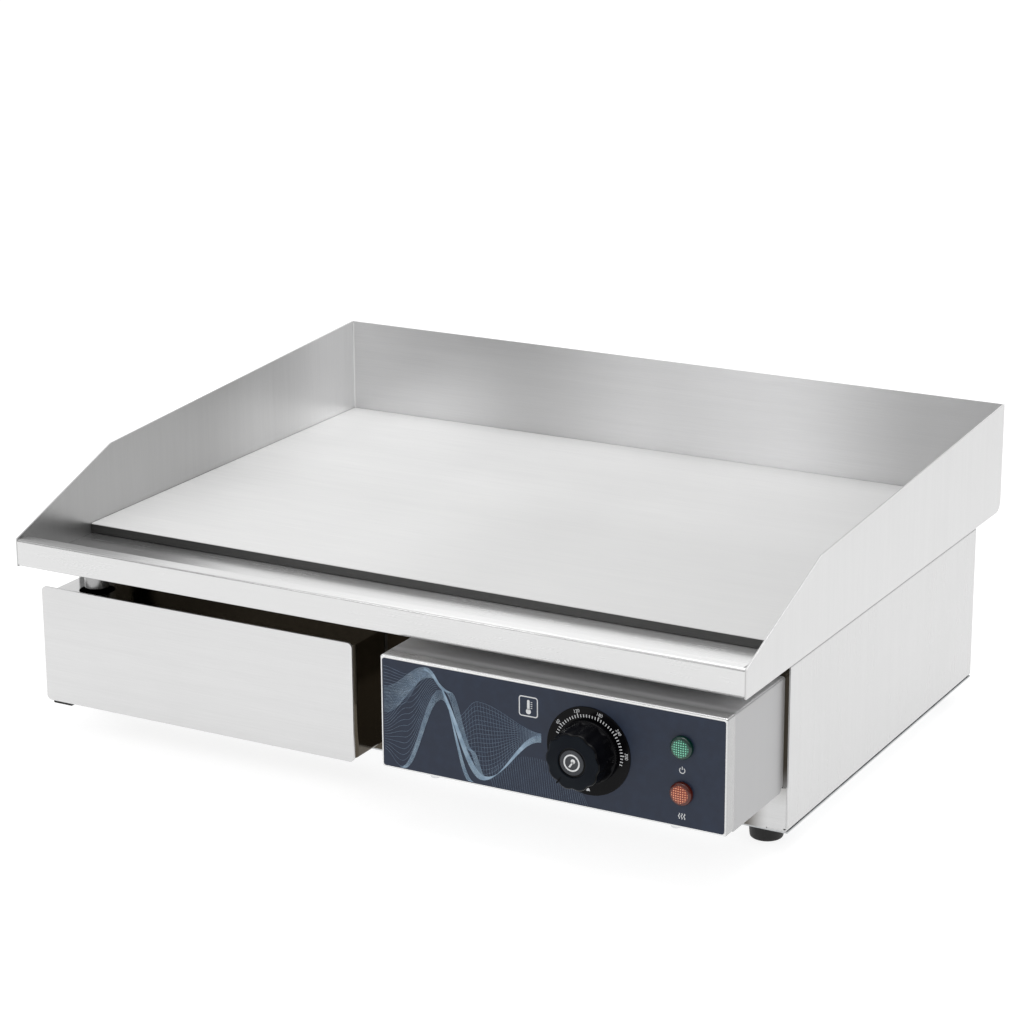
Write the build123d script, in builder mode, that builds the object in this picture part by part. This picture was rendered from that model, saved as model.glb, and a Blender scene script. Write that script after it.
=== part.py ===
from build123d import *
import os

os.makedirs("parts", exist_ok=True)

# Countertop electric griddle, in millimetres.
# X runs to the right, Y to the back and Z up.
# The origin is on the floor, under the middle of the overall footprint.

# ---- overall sizes -------------------------------------------------------------
shell_width = 550.0  # outside the two side guards
shell_depth = 439.0  # front apron to back guard
foot_height = 15.0
apron_height = 19.5
guard_kink_rise = 40.5  # top of the apron up to the bend of the side guard
guard_back_rise = 19.5  # bend of the side guard up to the back corner
guard_kink_setback = 111.5  # bend of the side guard, measured behind the apron
front_overhang = 67.6  # shell ahead of the body
rear_overhang = 46.9  # shell behind the body
box_reach = 16.3  # control panel ahead of the apron
knob_height = 23.0  # front of the knob ahead of the control panel

# ---- sheet thicknesses and bends -------------------------------------------------
guard_sheet = 1.2
sheet = 1.0
bend_radius = 1.6
panel_inset = 0.5  # body side panels stand this far inside the guards
panel_flange = 13.0
guard_corner_radius = 8.0
guard_flange = 20.0

# ---- cooking plate and trough ------------------------------------------------------
plate_thickness = 7.0
plate_side_gap = 0.4
plate_rear_gap = 0.3
trough_width = 83.4  # apron to the front edge of the plate
plate_ledge = 12.0
plate_side_ledge = 28.8
apron_flange = 9.0
drain_from_side = 36.0
drain_from_apron = 41.4
drain_bore = 14.0
drain_pipe_wall = 1.5
drain_flange_diameter = 28.0
drain_flange_thickness = 1.5
drain_pipe_gap = 3.0  # end of the pipe above the drawer cover

# ---- grease drawer ---------------------------------------------------------------------
drawer_front_height = 84.0
drawer_front_lift = 7.0  # bottom edge of the front above the underside of the base
drawer_front_thickness = 1.5
drawer_front_corner = 3.5
drawer_setback = 25.4  # drawer front behind the apron
drawer_box_inset = 9.0  # left side of the pan, inside the front's left edge
drawer_box_depth = 190.0
drawer_floor_lift = 1.6  # pan floor above the bottom edge of the front
cover_thickness = 0.8
cover_step = 1.8  # cover below the top edge of the front
cover_hole_diameter = 25.0
drawer_clearance = 1.5
rail_clearance = 0.3
rail_lip_height = 17.0
rail_web_inset = 26.0
rail_foot_width = 14.0
pad_length = 15.5
pad_width = 9.0
pad_height = 2.5

# ---- control box ---------------------------------------------------------------------------
box_width = 244.2
box_height = 76.7
box_top_gap = 7.8  # top of the box below the underside of the shell
box_side_gap = 4.3  # right side of the box inside the shell's right side
drawer_box_spacing = 47.5  # drawer front to the left side of the box
panel_return = 10.0
overlay_thickness = 0.4
overlay_side_margin = 1.5
overlay_top_margin = 2.0
knob_from_side = 94.0
knob_from_bottom = 38.8
lamp_from_side = 30.0
power_lamp_from_bottom = 53.3
heat_lamp_from_bottom = 23.3
box_screw_inset = 36.6
cable_hole_from_left = 33.5

# ---- knob, dial and thermostat -----------------------------------------------------------
dial_diameter = 58.0
dial_thickness = 0.8
knob_gap = 0.4
knob_skirt_diameter = 41.6
knob_skirt_height = 3.0
knob_base_diameter = 40.0
knob_top_diameter = 37.6
knob_scallops = 10
knob_scallop_radius = 6.0
knob_scallop_depth = 1.0
knob_recess_diameter = 19.0
knob_recess_depth = 1.0
cap_diameter = 16.4
spindle_diameter = 6.0
spindle_clearance = 0.05
bush_diameter = 10.0
hole_clearance = 0.1
thermostat_size = 34.0
thermostat_depth = 26.0
lamp_diameter = 15.0
lamp_rise = 4.0
lamp_body_diameter = 12.0
lamp_body_length = 26.0

# ---- feet and fasteners ------------------------------------------------------------------------
foot_top_diameter = 24.4
foot_bottom_diameter = 21.6
foot_from_side = 25.0
foot_from_body_edge = 23.3
foot_recess_diameter = 11.0
foot_recess_depth = 9.0
foot_screw_diameter = 5.0
foot_screw_head = 9.0
small_screw_diameter = 4.0
small_screw_head = 7.0

# ---- heating ------------------------------------------------------------------------------------
element_diameter = 7.0
element_legs = 4
element_margin = 35.0
element_contact_gap = 0.05
clamp_bar_width = 20.0
clamp_bar_thickness = 3.0
stud_diameter = 6.0
nut_height = 4.0
stud_overhang = 0.5  # end of a clamp stud beyond its nut
stud_clearance = 0.9  # end of a clamp stud above the insulation
bulb_diameter = 6.0
bulb_length = 80.0
bulb_leg_gap = 16.0  # middle of the bulb to the middle of the nearest element leg
insulation_thickness = 5.0
shield_gap = 3.3  # heat shield above the drawer cover

# ---- cable gland at the back ------------------------------------------------------------------
gland_from_side = 75.0
gland_lift = 30.0  # middle of the gland above the underside of the base
gland_bore = 8.5
gland_shank_diameter = 16.0
gland_hex = 22.0
gland_length = 17.0

# ---- places worked out from the sizes ----------------------------------------------------------
overall_depth = shell_depth + box_reach + knob_height
back_y = overall_depth / 2
apron_y = back_y - shell_depth
body_front_y = apron_y + front_overhang
body_rear_y = back_y - rear_overhang
panel_y = apron_y - box_reach
plate_front_y = apron_y + trough_width
side_x = shell_width / 2
guard_inner_x = side_x - guard_sheet
panel_outer_x = side_x - panel_inset
panel_inner_x = panel_outer_x - sheet
flange_end_x = panel_inner_x - panel_flange

drawer_front_bottom = foot_height + drawer_front_lift
drawer_top = drawer_front_bottom + drawer_front_height
cover_top = drawer_top - cover_step
heater_height = (
    element_diameter + 2 * element_contact_gap + clamp_bar_thickness + nut_height
    + stud_overhang + stud_clearance + insulation_thickness
)
body_height = cover_top + shield_gap + heater_height - foot_height

base_top = foot_height + sheet
shell_bottom = foot_height + body_height
tray_top = shell_bottom + sheet
apron_top = shell_bottom + apron_height
kink_z = apron_top + guard_kink_rise
guard_top = kink_z + guard_back_rise
plate_top = tray_top + plate_thickness

cutout_x = guard_inner_x - plate_side_ledge
cutout_front_y = plate_front_y + plate_ledge
cutout_rear_y = body_rear_y - sheet - plate_ledge
drain_x = -side_x + drain_from_side
drain_y = apron_y + drain_from_apron

drawer_left = -side_x
drawer_front_width = shell_width - box_side_gap - box_width - drawer_box_spacing
drawer_right = drawer_left + drawer_front_width
drawer_y = apron_y + drawer_setback
pan_left = drawer_left + drawer_box_inset
pan_right = drawer_right + panel_inset
pan_front_y = drawer_y + drawer_front_thickness
pan_rear_y = pan_front_y + drawer_box_depth
pan_bottom = drawer_front_bottom + drawer_floor_lift
pan_top = cover_top - cover_thickness

box_right = side_x - box_side_gap
box_left = box_right - box_width
box_top = shell_bottom - box_top_gap
box_bottom = box_top - box_height
face_y = panel_y + overlay_thickness
return_y = face_y + panel_return
knob_x = box_right - knob_from_side
knob_z = box_bottom + knob_from_bottom
lamp_x = box_right - lamp_from_side
cable_hole_x = box_left + cable_hole_from_left
cable_hole_z = knob_z
lamps = {
    "power": box_bottom + power_lamp_from_bottom,
    "heat": box_bottom + heat_lamp_from_bottom,
}

foot_x = side_x - foot_from_side
foot_front_y = body_front_y + foot_from_body_edge
foot_rear_y = body_rear_y - foot_from_body_edge
foot_places = {
    "foot_front_left": (-foot_x, foot_front_y),
    "foot_front_right": (foot_x, foot_front_y),
    "foot_rear_left": (-foot_x, foot_rear_y),
    "foot_rear_right": (foot_x, foot_rear_y),
}

element_z = tray_top - element_diameter / 2 - element_contact_gap
element_bottom = element_z - element_diameter / 2
clamp_top = element_bottom - element_contact_gap
clamp_bottom = clamp_top - clamp_bar_thickness
shield_bottom = cover_top + shield_gap
insulation_bottom = shield_bottom + sheet
leg_pitch = (cutout_x - element_margin) / (element_legs - 0.5)
clamp_y = (
    cutout_front_y + 0.25 * (cutout_rear_y - cutout_front_y),
    cutout_front_y + 0.75 * (cutout_rear_y - cutout_front_y),
)
stud_x = (-2 * leg_pitch, 0.0, 2 * leg_pitch)
middle_y = (cutout_front_y + cutout_rear_y) / 2
gland_x = side_x - gland_from_side
gland_z = foot_height + gland_lift


def slab(x0, x1, y0, y1, z0, z1, mode=Mode.ADD):
    """A plain block between two opposite corners, added to or cut from the part."""
    with Locations(((x0 + x1) / 2, (y0 + y1) / 2, (z0 + z1) / 2)):
        Box(x1 - x0, y1 - y0, z1 - z0, mode=mode)


def bent_sheet(plane, points, length, thickness=sheet, radius=bend_radius):
    """Sheet metal folded along a line of points and as long as the press brake's run."""
    with BuildSketch(plane) as section:
        with BuildLine():
            FilletPolyline(*points, radius=radius)
        trace(line_width=thickness)
    extrude(section.sketch, amount=length)


def front_plane(y):
    """A plane across the object at depth y, looking out to the front."""
    return Plane.XZ.offset(-y)


def bore_along_y(x, z, y0, y1, radius):
    """A round hole along Y, from y0 back to y1."""
    with BuildSketch(front_plane(y1)) as section:
        with Locations((x, z)):
            Circle(radius)
    extrude(section.sketch, amount=y1 - y0, mode=Mode.SUBTRACT)


def turned_along_y(x, z, steps):
    """Round steps on one axis along Y, each step given as (y0, y1, radius)."""
    for y0, y1, radius in steps:
        with BuildSketch(front_plane(y1)) as section:
            with Locations((x, z)):
                Circle(radius)
        extrude(section.sketch, amount=y1 - y0)


# ================================ upper shell ======================================
# The side guards are flat sheets, low at the apron, sloping up to a bend and then
# rising gently to the back corner.
for side, guard_start in (("left", -side_x), ("right", guard_inner_x)):
    with BuildPart() as side_guard:
        with BuildSketch(Plane.YZ.offset(guard_start)) as guard_profile:
            with BuildLine():
                Polyline(
                    (apron_y, shell_bottom),
                    (apron_y, apron_top),
                    (apron_y + guard_kink_setback, kink_z),
                    (back_y, guard_top),
                    (back_y, shell_bottom),
                    close=True,
                )
            make_face()
            lower_back = guard_profile.vertices().sort_by(Axis.X)[-2:].sort_by(Axis.Y)[0]
            fillet(lower_back, radius=guard_corner_radius)
        extrude(amount=guard_sheet)
    side_guard.part.label = f"side_guard_{side}"
    export_step(side_guard.part, f"parts/side_guard_{side}.step")

# The back guard closes the rear between the two side guards. It is folded under at the
# bottom, and its flange meets the trough tray edge to edge.
tray_rear_y = back_y - guard_corner_radius - guard_flange
with BuildPart() as back_guard:
    bent_sheet(
        Plane.YZ.offset(-guard_inner_x),
        [
            (back_y - sheet / 2, guard_top),
            (back_y - sheet / 2, shell_bottom + sheet / 2),
            (tray_rear_y, shell_bottom + sheet / 2),
        ],
        2 * guard_inner_x,
        radius=guard_corner_radius - sheet / 2,
    )
back_guard.part.label = "back_guard"
export_step(back_guard.part, "parts/back_guard.step")

# One folded sheet makes the apron with its return flange, the trough floor and the
# ledge that carries the cooking plate.
with BuildPart() as trough_tray:
    bent_sheet(
        Plane.YZ.offset(-guard_inner_x),
        [
            (apron_y + apron_flange, apron_top - sheet / 2),
            (apron_y + sheet / 2, apron_top - sheet / 2),
            (apron_y + sheet / 2, shell_bottom + sheet / 2),
            (tray_rear_y, shell_bottom + sheet / 2),
        ],
        2 * guard_inner_x,
    )
    slab(-cutout_x, cutout_x, cutout_front_y, cutout_rear_y,
         shell_bottom - sheet, tray_top + sheet, mode=Mode.SUBTRACT)
    for corner_x in (-guard_inner_x + sheet, guard_inner_x - sheet):
        slab(corner_x - sheet, corner_x + sheet, apron_y + 2 * sheet, apron_y + apron_flange + sheet,
             apron_top - 2 * sheet, apron_top + sheet, mode=Mode.SUBTRACT)
    with Locations((drain_x, drain_y, shell_bottom)):
        Cylinder(drain_bore / 2, 4 * sheet, mode=Mode.SUBTRACT)
trough_tray.part.label = "trough_tray"
export_step(trough_tray.part, "parts/trough_tray.step")

# Thick ground steel plate. Its front edge has a fine chamfer, and its lower back edge is
# rounded to clear the fold of the back guard.
plate_chamfer = 0.6
plate_x = guard_inner_x - plate_side_gap
plate_rear_y = back_y - sheet - plate_rear_gap
with BuildPart() as griddle_plate:
    with BuildSketch(Plane.YZ.offset(-plate_x)) as plate_profile:
        with Locations((plate_front_y, tray_top)):
            Rectangle(plate_rear_y - plate_front_y, plate_thickness + guard_corner_radius,
                      align=(Align.MIN, Align.MIN))
        plate_heel = plate_profile.vertices().sort_by(Axis.X)[-2:].sort_by(Axis.Y)[0]
        fillet(plate_heel, radius=guard_corner_radius - sheet - plate_rear_gap)
    extrude(amount=2 * plate_x)
    slab(-side_x, side_x, plate_front_y - plate_thickness, back_y,
         plate_top, plate_top + 2 * guard_corner_radius, mode=Mode.SUBTRACT)
    front_edges = griddle_plate.edges().filter_by(Axis.X).group_by(Axis.Y)[0]
    chamfer(front_edges, plate_chamfer)
griddle_plate.part.label = "griddle_plate"
export_step(griddle_plate.part, "parts/griddle_plate.step")

# Drain spout welded under the trough floor by a round flange.
pipe_end_z = cover_top + drain_pipe_gap
with BuildPart() as drain_pipe:
    with BuildSketch(Plane.XY.offset(pipe_end_z)):
        with Locations((drain_x, drain_y)):
            Circle(drain_bore / 2 + drain_pipe_wall)
    extrude(amount=shell_bottom - pipe_end_z)
    with BuildSketch(Plane.XY.offset(shell_bottom - drain_flange_thickness)):
        with Locations((drain_x, drain_y)):
            Circle(drain_flange_diameter / 2)
    extrude(amount=drain_flange_thickness)
    with BuildSketch(Plane.XY.offset(pipe_end_z)):
        with Locations((drain_x, drain_y)):
            Circle(drain_bore / 2)
    extrude(amount=shell_bottom - pipe_end_z, mode=Mode.SUBTRACT)
drain_pipe.part.label = "drain_pipe"
export_step(drain_pipe.part, "parts/drain_pipe.step")

# ================================ body =================================================
# Each side panel is a channel: its flanges carry the shell and rest on the base.
body_depth = body_rear_y - body_front_y
for side, sign in (("left", -1), ("right", 1)):
    with BuildPart() as side_panel:
        wall_x = sign * (panel_outer_x - sheet / 2)
        bent_sheet(
            front_plane(body_rear_y),
            [
                (sign * flange_end_x, shell_bottom - sheet / 2),
                (wall_x, shell_bottom - sheet / 2),
                (wall_x, base_top + sheet / 2),
                (sign * flange_end_x, base_top + sheet / 2),
            ],
            body_depth,
        )
    side_panel.part.label = f"side_panel_{side}"
    export_step(side_panel.part, f"parts/side_panel_{side}.step")

# The front panel has the drawer's opening and one hole for the wires and the capillary.
end_flange = 8.0
cable_hole_radius = 9.0
end_panel_x = panel_inner_x - hole_clearance
end_flange_x = flange_end_x - panel_inset
end_corner_x = panel_inner_x - bend_radius
with BuildPart() as front_panel:
    slab(-end_panel_x, end_panel_x, body_front_y, body_front_y + sheet,
         base_top + 2 * sheet, shell_bottom - 2 * sheet)
    slab(-end_corner_x, end_corner_x, body_front_y, body_front_y + sheet,
         base_top + sheet, shell_bottom - sheet)
    slab(-end_flange_x, end_flange_x, body_front_y, body_front_y + sheet, base_top, shell_bottom)
    slab(-end_flange_x, end_flange_x, body_front_y, body_front_y + end_flange,
         shell_bottom - sheet, shell_bottom)
    slab(-end_flange_x, end_flange_x, body_front_y, body_front_y + end_flange,
         base_top, base_top + sheet)
    slab(pan_left - drawer_clearance, pan_right + drawer_clearance,
         body_front_y - sheet, body_front_y + 2 * sheet,
         pan_bottom - drawer_clearance, cover_top + drawer_clearance, mode=Mode.SUBTRACT)
    bore_along_y(cable_hole_x, cable_hole_z, body_front_y - sheet,
                 body_front_y + 2 * sheet, cable_hole_radius)
front_panel.part.label = "front_panel"
export_step(front_panel.part, "parts/front_panel.step")

# The rear panel has two rows of vent slots, the gland hole and its screws.
vent_length = 36.0
vent_height = 4.0
vent_pitch_x = 46.0
vent_pitch_z = 12.0
vent_columns = 5
vent_rows = 4
vent_x = -60.0
vent_z = (base_top + shell_bottom) / 2
rear_screw_inset = 16.0
screw_rows = (base_top + rear_screw_inset, shell_bottom - rear_screw_inset)
screw_columns = (-foot_x, 0.0, foot_x)
rear_screw_places = [(x, z) for x in screw_columns for z in screw_rows]
with BuildPart() as rear_panel:
    rear_inner_y = body_rear_y - sheet
    slab(-end_panel_x, end_panel_x, rear_inner_y, body_rear_y,
         base_top + 2 * sheet, shell_bottom - 2 * sheet)
    slab(-end_corner_x, end_corner_x, rear_inner_y, body_rear_y,
         base_top + sheet, shell_bottom - sheet)
    slab(-end_flange_x, end_flange_x, rear_inner_y, body_rear_y, base_top, shell_bottom)
    slab(-end_flange_x, end_flange_x, body_rear_y - end_flange, body_rear_y,
         shell_bottom - sheet, shell_bottom)
    slab(-end_flange_x, end_flange_x, body_rear_y - end_flange, body_rear_y,
         base_top, base_top + sheet)
    with BuildSketch(front_plane(body_rear_y + sheet)):
        with Locations((vent_x, vent_z)):
            with GridLocations(vent_pitch_x, vent_pitch_z, vent_columns, vent_rows):
                SlotOverall(vent_length, vent_height)
        with Locations((gland_x, gland_z)):
            Circle(gland_shank_diameter / 2 + hole_clearance)
        with Locations(*rear_screw_places):
            Circle(small_screw_diameter / 2 + hole_clearance)
    extrude(amount=3 * sheet, mode=Mode.SUBTRACT)
rear_panel.part.label = "rear_panel"
export_step(rear_panel.part, "parts/rear_panel.step")

# The base closes the body from below and takes the four feet.
with BuildPart() as base_plate:
    slab(-panel_outer_x, panel_outer_x, body_front_y, body_rear_y, foot_height, base_top)
    with BuildSketch(Plane.XY.offset(foot_height)):
        with Locations(*foot_places.values()):
            Circle(foot_screw_diameter / 2 + hole_clearance)
        with Locations((side_x / 2, middle_y)):
            with GridLocations(vent_pitch_x, vent_pitch_z, vent_rows, vent_columns):
                SlotOverall(vent_length, vent_height)
    extrude(amount=sheet, mode=Mode.SUBTRACT)
base_plate.part.label = "base_plate"
export_step(base_plate.part, "parts/base_plate.step")

# ================================ grease drawer =========================================
# Brushed front with rounded corners and a return flange along its bottom edge.
front_flange_depth = 12.0
with BuildPart() as drawer_front:
    with BuildSketch(front_plane(drawer_y + drawer_front_thickness)):
        with Locations(((drawer_left + drawer_right) / 2, (drawer_front_bottom + drawer_top) / 2)):
            RectangleRounded(drawer_front_width, drawer_front_height, drawer_front_corner)
    extrude(amount=drawer_front_thickness)
    slab(drawer_left + drawer_front_corner, drawer_right - drawer_front_corner,
         drawer_y + drawer_front_thickness / 2, drawer_y + front_flange_depth,
         drawer_front_bottom, drawer_front_bottom + sheet)
drawer_front.part.label = "drawer_front"
export_step(drawer_front.part, "parts/drawer_front.step")

# Deep open pan behind the front, with rounded upright corners.
pan_corner = 4.0
with BuildPart() as drawer_box:
    slab(pan_left, pan_right, pan_front_y, pan_rear_y, pan_bottom, pan_top)
    fillet(drawer_box.edges().filter_by(Axis.Z), radius=pan_corner)
    fillet(drawer_box.faces().sort_by(Axis.Z)[0].edges(), radius=pan_corner / 2)
    offset(amount=-sheet, openings=drawer_box.faces().sort_by(Axis.Z)[-1])
drawer_box.part.label = "drawer_box"
export_step(drawer_box.part, "parts/drawer_box.step")

# Lift-off cover on the pan's rim, with a drain hole whose rim is turned down and four
# tabs that keep it in place.
tab_length = 14.0
tab_height = 5.0
tab_gap = 0.5
cover_rim_height = 2.0
cover_rim_wall = 0.5
with BuildPart() as drawer_cover:
    with BuildSketch(Plane.XY.offset(pan_top)):
        with Locations(((pan_left + pan_right) / 2, (pan_front_y + pan_rear_y) / 2)):
            RectangleRounded(pan_right - pan_left, drawer_box_depth, pan_corner)
    extrude(amount=cover_thickness)
    with BuildSketch(Plane.XY.offset(pan_top - cover_rim_height)):
        with Locations((drain_x, drain_y)):
            Circle(cover_hole_diameter / 2 + cover_rim_wall)
    extrude(amount=cover_rim_height)
    with Locations((drain_x, drain_y, pan_top)):
        Cylinder(cover_hole_diameter / 2, 4 * cover_rim_height, mode=Mode.SUBTRACT)
    for tab_y in (pan_front_y + 3 * tab_length, pan_rear_y - 3 * tab_length):
        for tab_x in (pan_left + sheet + tab_gap, pan_right - 2 * sheet - tab_gap):
            slab(tab_x, tab_x + sheet, tab_y - tab_length / 2, tab_y + tab_length / 2,
                 pan_top - tab_height, pan_top)
drawer_cover.part.label = "drawer_cover"
export_step(drawer_cover.part, "parts/drawer_cover.step")

# A black pad is stuck under the left end of the front's return flange.
pad_left = drawer_left + drawer_front_corner + sheet
with BuildPart() as drawer_pad:
    slab(pad_left, pad_left + pad_length,
         drawer_y + drawer_front_thickness, drawer_y + drawer_front_thickness + pad_width,
         drawer_front_bottom - pad_height, drawer_front_bottom)
    chamfer(drawer_pad.faces().sort_by(Axis.Z)[0].edges(), pad_height / 5)
drawer_pad.part.label = "drawer_pad"
export_step(drawer_pad.part, "parts/drawer_pad.step")

# Each rail is folded like a Z with an upright lip that guides the side of the pan, and
# ends in a stop tab behind it.
rail_front_y = body_front_y + end_flange + sheet
rail_rear_y = pan_rear_y + 2 * sheet
rail_stop_height = 10.0
for side, pan_side_x, inward in (("left", pan_left, 1), ("right", pan_right, -1)):
    lip_x = pan_side_x - inward * (rail_clearance + sheet / 2)
    web_x = pan_side_x + inward * rail_web_inset
    shelf_z = pan_bottom - rail_clearance - sheet / 2
    with BuildPart() as drawer_rail:
        bent_sheet(
            front_plane(rail_rear_y),
            [
                (web_x + inward * rail_foot_width, base_top + sheet / 2),
                (web_x, base_top + sheet / 2),
                (web_x, shelf_z),
                (lip_x, shelf_z),
                (lip_x, shelf_z + rail_lip_height),
            ],
            rail_rear_y - rail_front_y,
        )
        stop_x = sorted((pan_side_x + inward * pan_corner, web_x))
        slab(stop_x[0], stop_x[1], rail_rear_y - sheet, rail_rear_y,
             shelf_z, shelf_z + rail_stop_height)
    drawer_rail.part.label = f"drawer_rail_{side}"
    export_step(drawer_rail.part, f"parts/drawer_rail_{side}.step")

# ================================ control box ============================================
# Folded top and sides, with a narrow joggled lip that slips inside the control panel.
# The rear lower corners are nipped off.
lip_length = 6.0
corner_nip = 4.0
with BuildPart() as control_box_shell:
    slab(box_left, box_right, return_y, body_front_y, box_bottom, box_top)
    top_edges = control_box_shell.edges().filter_by(Axis.Y).group_by(Axis.Z)[-1]
    fillet(top_edges, radius=bend_radius)
    slab(box_left + sheet, box_right - sheet, return_y, body_front_y,
         box_bottom, box_top - sheet, mode=Mode.SUBTRACT)
    for lip_left, lip_right in ((box_left, box_left + sheet), (box_right - sheet, box_right)):
        inward = sheet if lip_left == box_left else -sheet
        slab(lip_left + inward, lip_right + inward, return_y - lip_length, return_y + lip_length,
             box_bottom + 2 * sheet + bend_radius, box_top - sheet - bend_radius)
    slab(box_left + sheet + bend_radius, box_right - sheet - bend_radius,
         return_y - lip_length, return_y + lip_length, box_top - 2 * sheet, box_top - sheet)
    with BuildSketch(Plane.YZ.offset(box_left)):
        with BuildLine():
            Polyline(
                (body_front_y - corner_nip, box_bottom),
                (body_front_y, box_bottom),
                (body_front_y, box_bottom + corner_nip),
                close=True,
            )
        make_face()
    extrude(amount=box_width, mode=Mode.SUBTRACT)
control_box_shell.part.label = "control_box_shell"
export_step(control_box_shell.part, "parts/control_box_shell.step")

# The control panel is a shallow pan with returns all round and holes for the spindle
# and the two lamps.
lamp_hole_radius = lamp_body_diameter / 2 + hole_clearance
bush_hole_radius = bush_diameter / 2 + hole_clearance
box_screw_y = face_y + 0.6 * panel_return
box_screw_places = [(x, box_screw_y) for x in (box_left + box_screw_inset, box_right - box_screw_inset)]
with BuildPart() as control_panel:
    slab(box_left, box_right, face_y, return_y, box_bottom, box_top)
    fillet(control_panel.edges().filter_by(Axis.Y), radius=bend_radius)
    fillet(control_panel.faces().sort_by(Axis.Y)[0].edges(), radius=0.6 * bend_radius)
    offset(amount=-sheet, openings=control_panel.faces().sort_by(Axis.Y)[-1])
    bore_along_y(knob_x, knob_z, face_y - sheet, face_y + 2 * sheet, bush_hole_radius)
    for lamp_z in lamps.values():
        bore_along_y(lamp_x, lamp_z, face_y - sheet, face_y + 2 * sheet, lamp_hole_radius)
    with BuildSketch(Plane.XY.offset(box_bottom)):
        with Locations(*box_screw_places):
            Circle(small_screw_diameter / 2 + hole_clearance)
    extrude(amount=sheet, mode=Mode.SUBTRACT)
control_panel.part.label = "control_panel"
export_step(control_panel.part, "parts/control_panel.step")

# The bottom cover closes the control box, with a tongue under the two screws.
with BuildPart() as control_box_bottom:
    slab(box_left + sheet, box_right - sheet, return_y, body_front_y - corner_nip,
         box_bottom, box_bottom + sheet)
    slab(box_left + 2 * sheet, box_right - 2 * sheet, face_y + 2 * sheet, return_y + lip_length,
         box_bottom + sheet, box_bottom + 2 * sheet)
    with BuildSketch(Plane.XY.offset(box_bottom)):
        with Locations(*box_screw_places):
            Circle(small_screw_diameter / 2 + hole_clearance)
    extrude(amount=2 * sheet, mode=Mode.SUBTRACT)
control_box_bottom.part.label = "control_box_bottom"
export_step(control_box_bottom.part, "parts/control_box_bottom.step")

# Thin dark film on the face of the control panel.
overlay_corner = 1.5
overlay_left = box_left + overlay_side_margin
overlay_right = box_right - overlay_side_margin
overlay_bottom = box_bottom + overlay_side_margin
overlay_top = box_top - overlay_top_margin
with BuildPart() as panel_overlay:
    with BuildSketch(front_plane(face_y)):
        with Locations(((overlay_left + overlay_right) / 2, (overlay_bottom + overlay_top) / 2)):
            RectangleRounded(overlay_right - overlay_left, overlay_top - overlay_bottom,
                             overlay_corner)
    extrude(amount=overlay_thickness)
    bore_along_y(knob_x, knob_z, panel_y, face_y, bush_hole_radius)
    for lamp_z in lamps.values():
        bore_along_y(lamp_x, lamp_z, panel_y, face_y, lamp_hole_radius)
panel_overlay.part.label = "panel_overlay"
export_step(panel_overlay.part, "parts/panel_overlay.step")

# Two pan head screws hold the bottom cover to the panel's lower return.
screw_head_height = 2.4
screw_length = 8.0
with BuildPart() as box_screws:
    with BuildSketch(Plane.XY.offset(box_bottom)):
        with Locations(*box_screw_places):
            Circle(small_screw_diameter / 2)
    extrude(amount=screw_length)
    with BuildSketch(Plane.XY.offset(box_bottom - screw_head_height)):
        with Locations(*box_screw_places):
            Circle(small_screw_head / 2)
    extrude(amount=screw_head_height)
    head_rims = box_screws.faces().sort_by(Axis.Z)[:2].edges()
    fillet(head_rims, radius=screw_head_height / 3)
box_screws.part.label = "box_screws"
export_step(box_screws.part, "parts/box_screws.step")

# ================================ dial, knob and thermostat ==================================
dial_front_y = panel_y - dial_thickness
nut_thickness = 2.5
nut_across_flats = 14.0
bush_proud = 1.0  # bush beyond its nut
bush_front_y = dial_front_y - nut_thickness - bush_proud
with BuildPart() as dial_plate:
    turned_along_y(knob_x, knob_z, [(dial_front_y, panel_y, dial_diameter / 2)])
    chamfer(dial_plate.faces().sort_by(Axis.Y)[0].edges(), dial_thickness / 3)
    bore_along_y(knob_x, knob_z, dial_front_y, panel_y, bush_hole_radius)
dial_plate.part.label = "dial_plate"
export_step(dial_plate.part, "parts/dial_plate.step")

# Capillary thermostat: a square case with a threaded bush through the panel.
case_front_y = face_y + sheet
case_rear_y = case_front_y + thermostat_depth
case_corner = 3.0
spindle_bore_end_y = case_front_y + thermostat_depth / 2
spindle_hole_radius = spindle_diameter / 2 + spindle_clearance
with BuildPart() as thermostat_body:
    slab(knob_x - thermostat_size / 2, knob_x + thermostat_size / 2, case_front_y, case_rear_y,
         knob_z - thermostat_size / 2, knob_z + thermostat_size / 2)
    fillet(thermostat_body.edges().filter_by(Axis.Y), radius=case_corner)
    turned_along_y(knob_x, knob_z, [(bush_front_y, case_front_y, bush_diameter / 2)])
    bore_along_y(knob_x, knob_z, bush_front_y, spindle_bore_end_y, spindle_hole_radius)
thermostat_body.part.label = "thermostat_body"
export_step(thermostat_body.part, "parts/thermostat_body.step")

# Thin hexagon nut that clamps the thermostat's bush to the panel, hidden by the knob.
with BuildPart() as thermostat_nut:
    with BuildSketch(front_plane(dial_front_y)):
        with Locations((knob_x, knob_z)):
            RegularPolygon(nut_across_flats / 2, 6, major_radius=False)
            Circle(bush_diameter / 2 + spindle_clearance, mode=Mode.SUBTRACT)
    extrude(amount=nut_thickness)
thermostat_nut.part.label = "thermostat_nut"
export_step(thermostat_nut.part, "parts/thermostat_nut.step")

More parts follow.
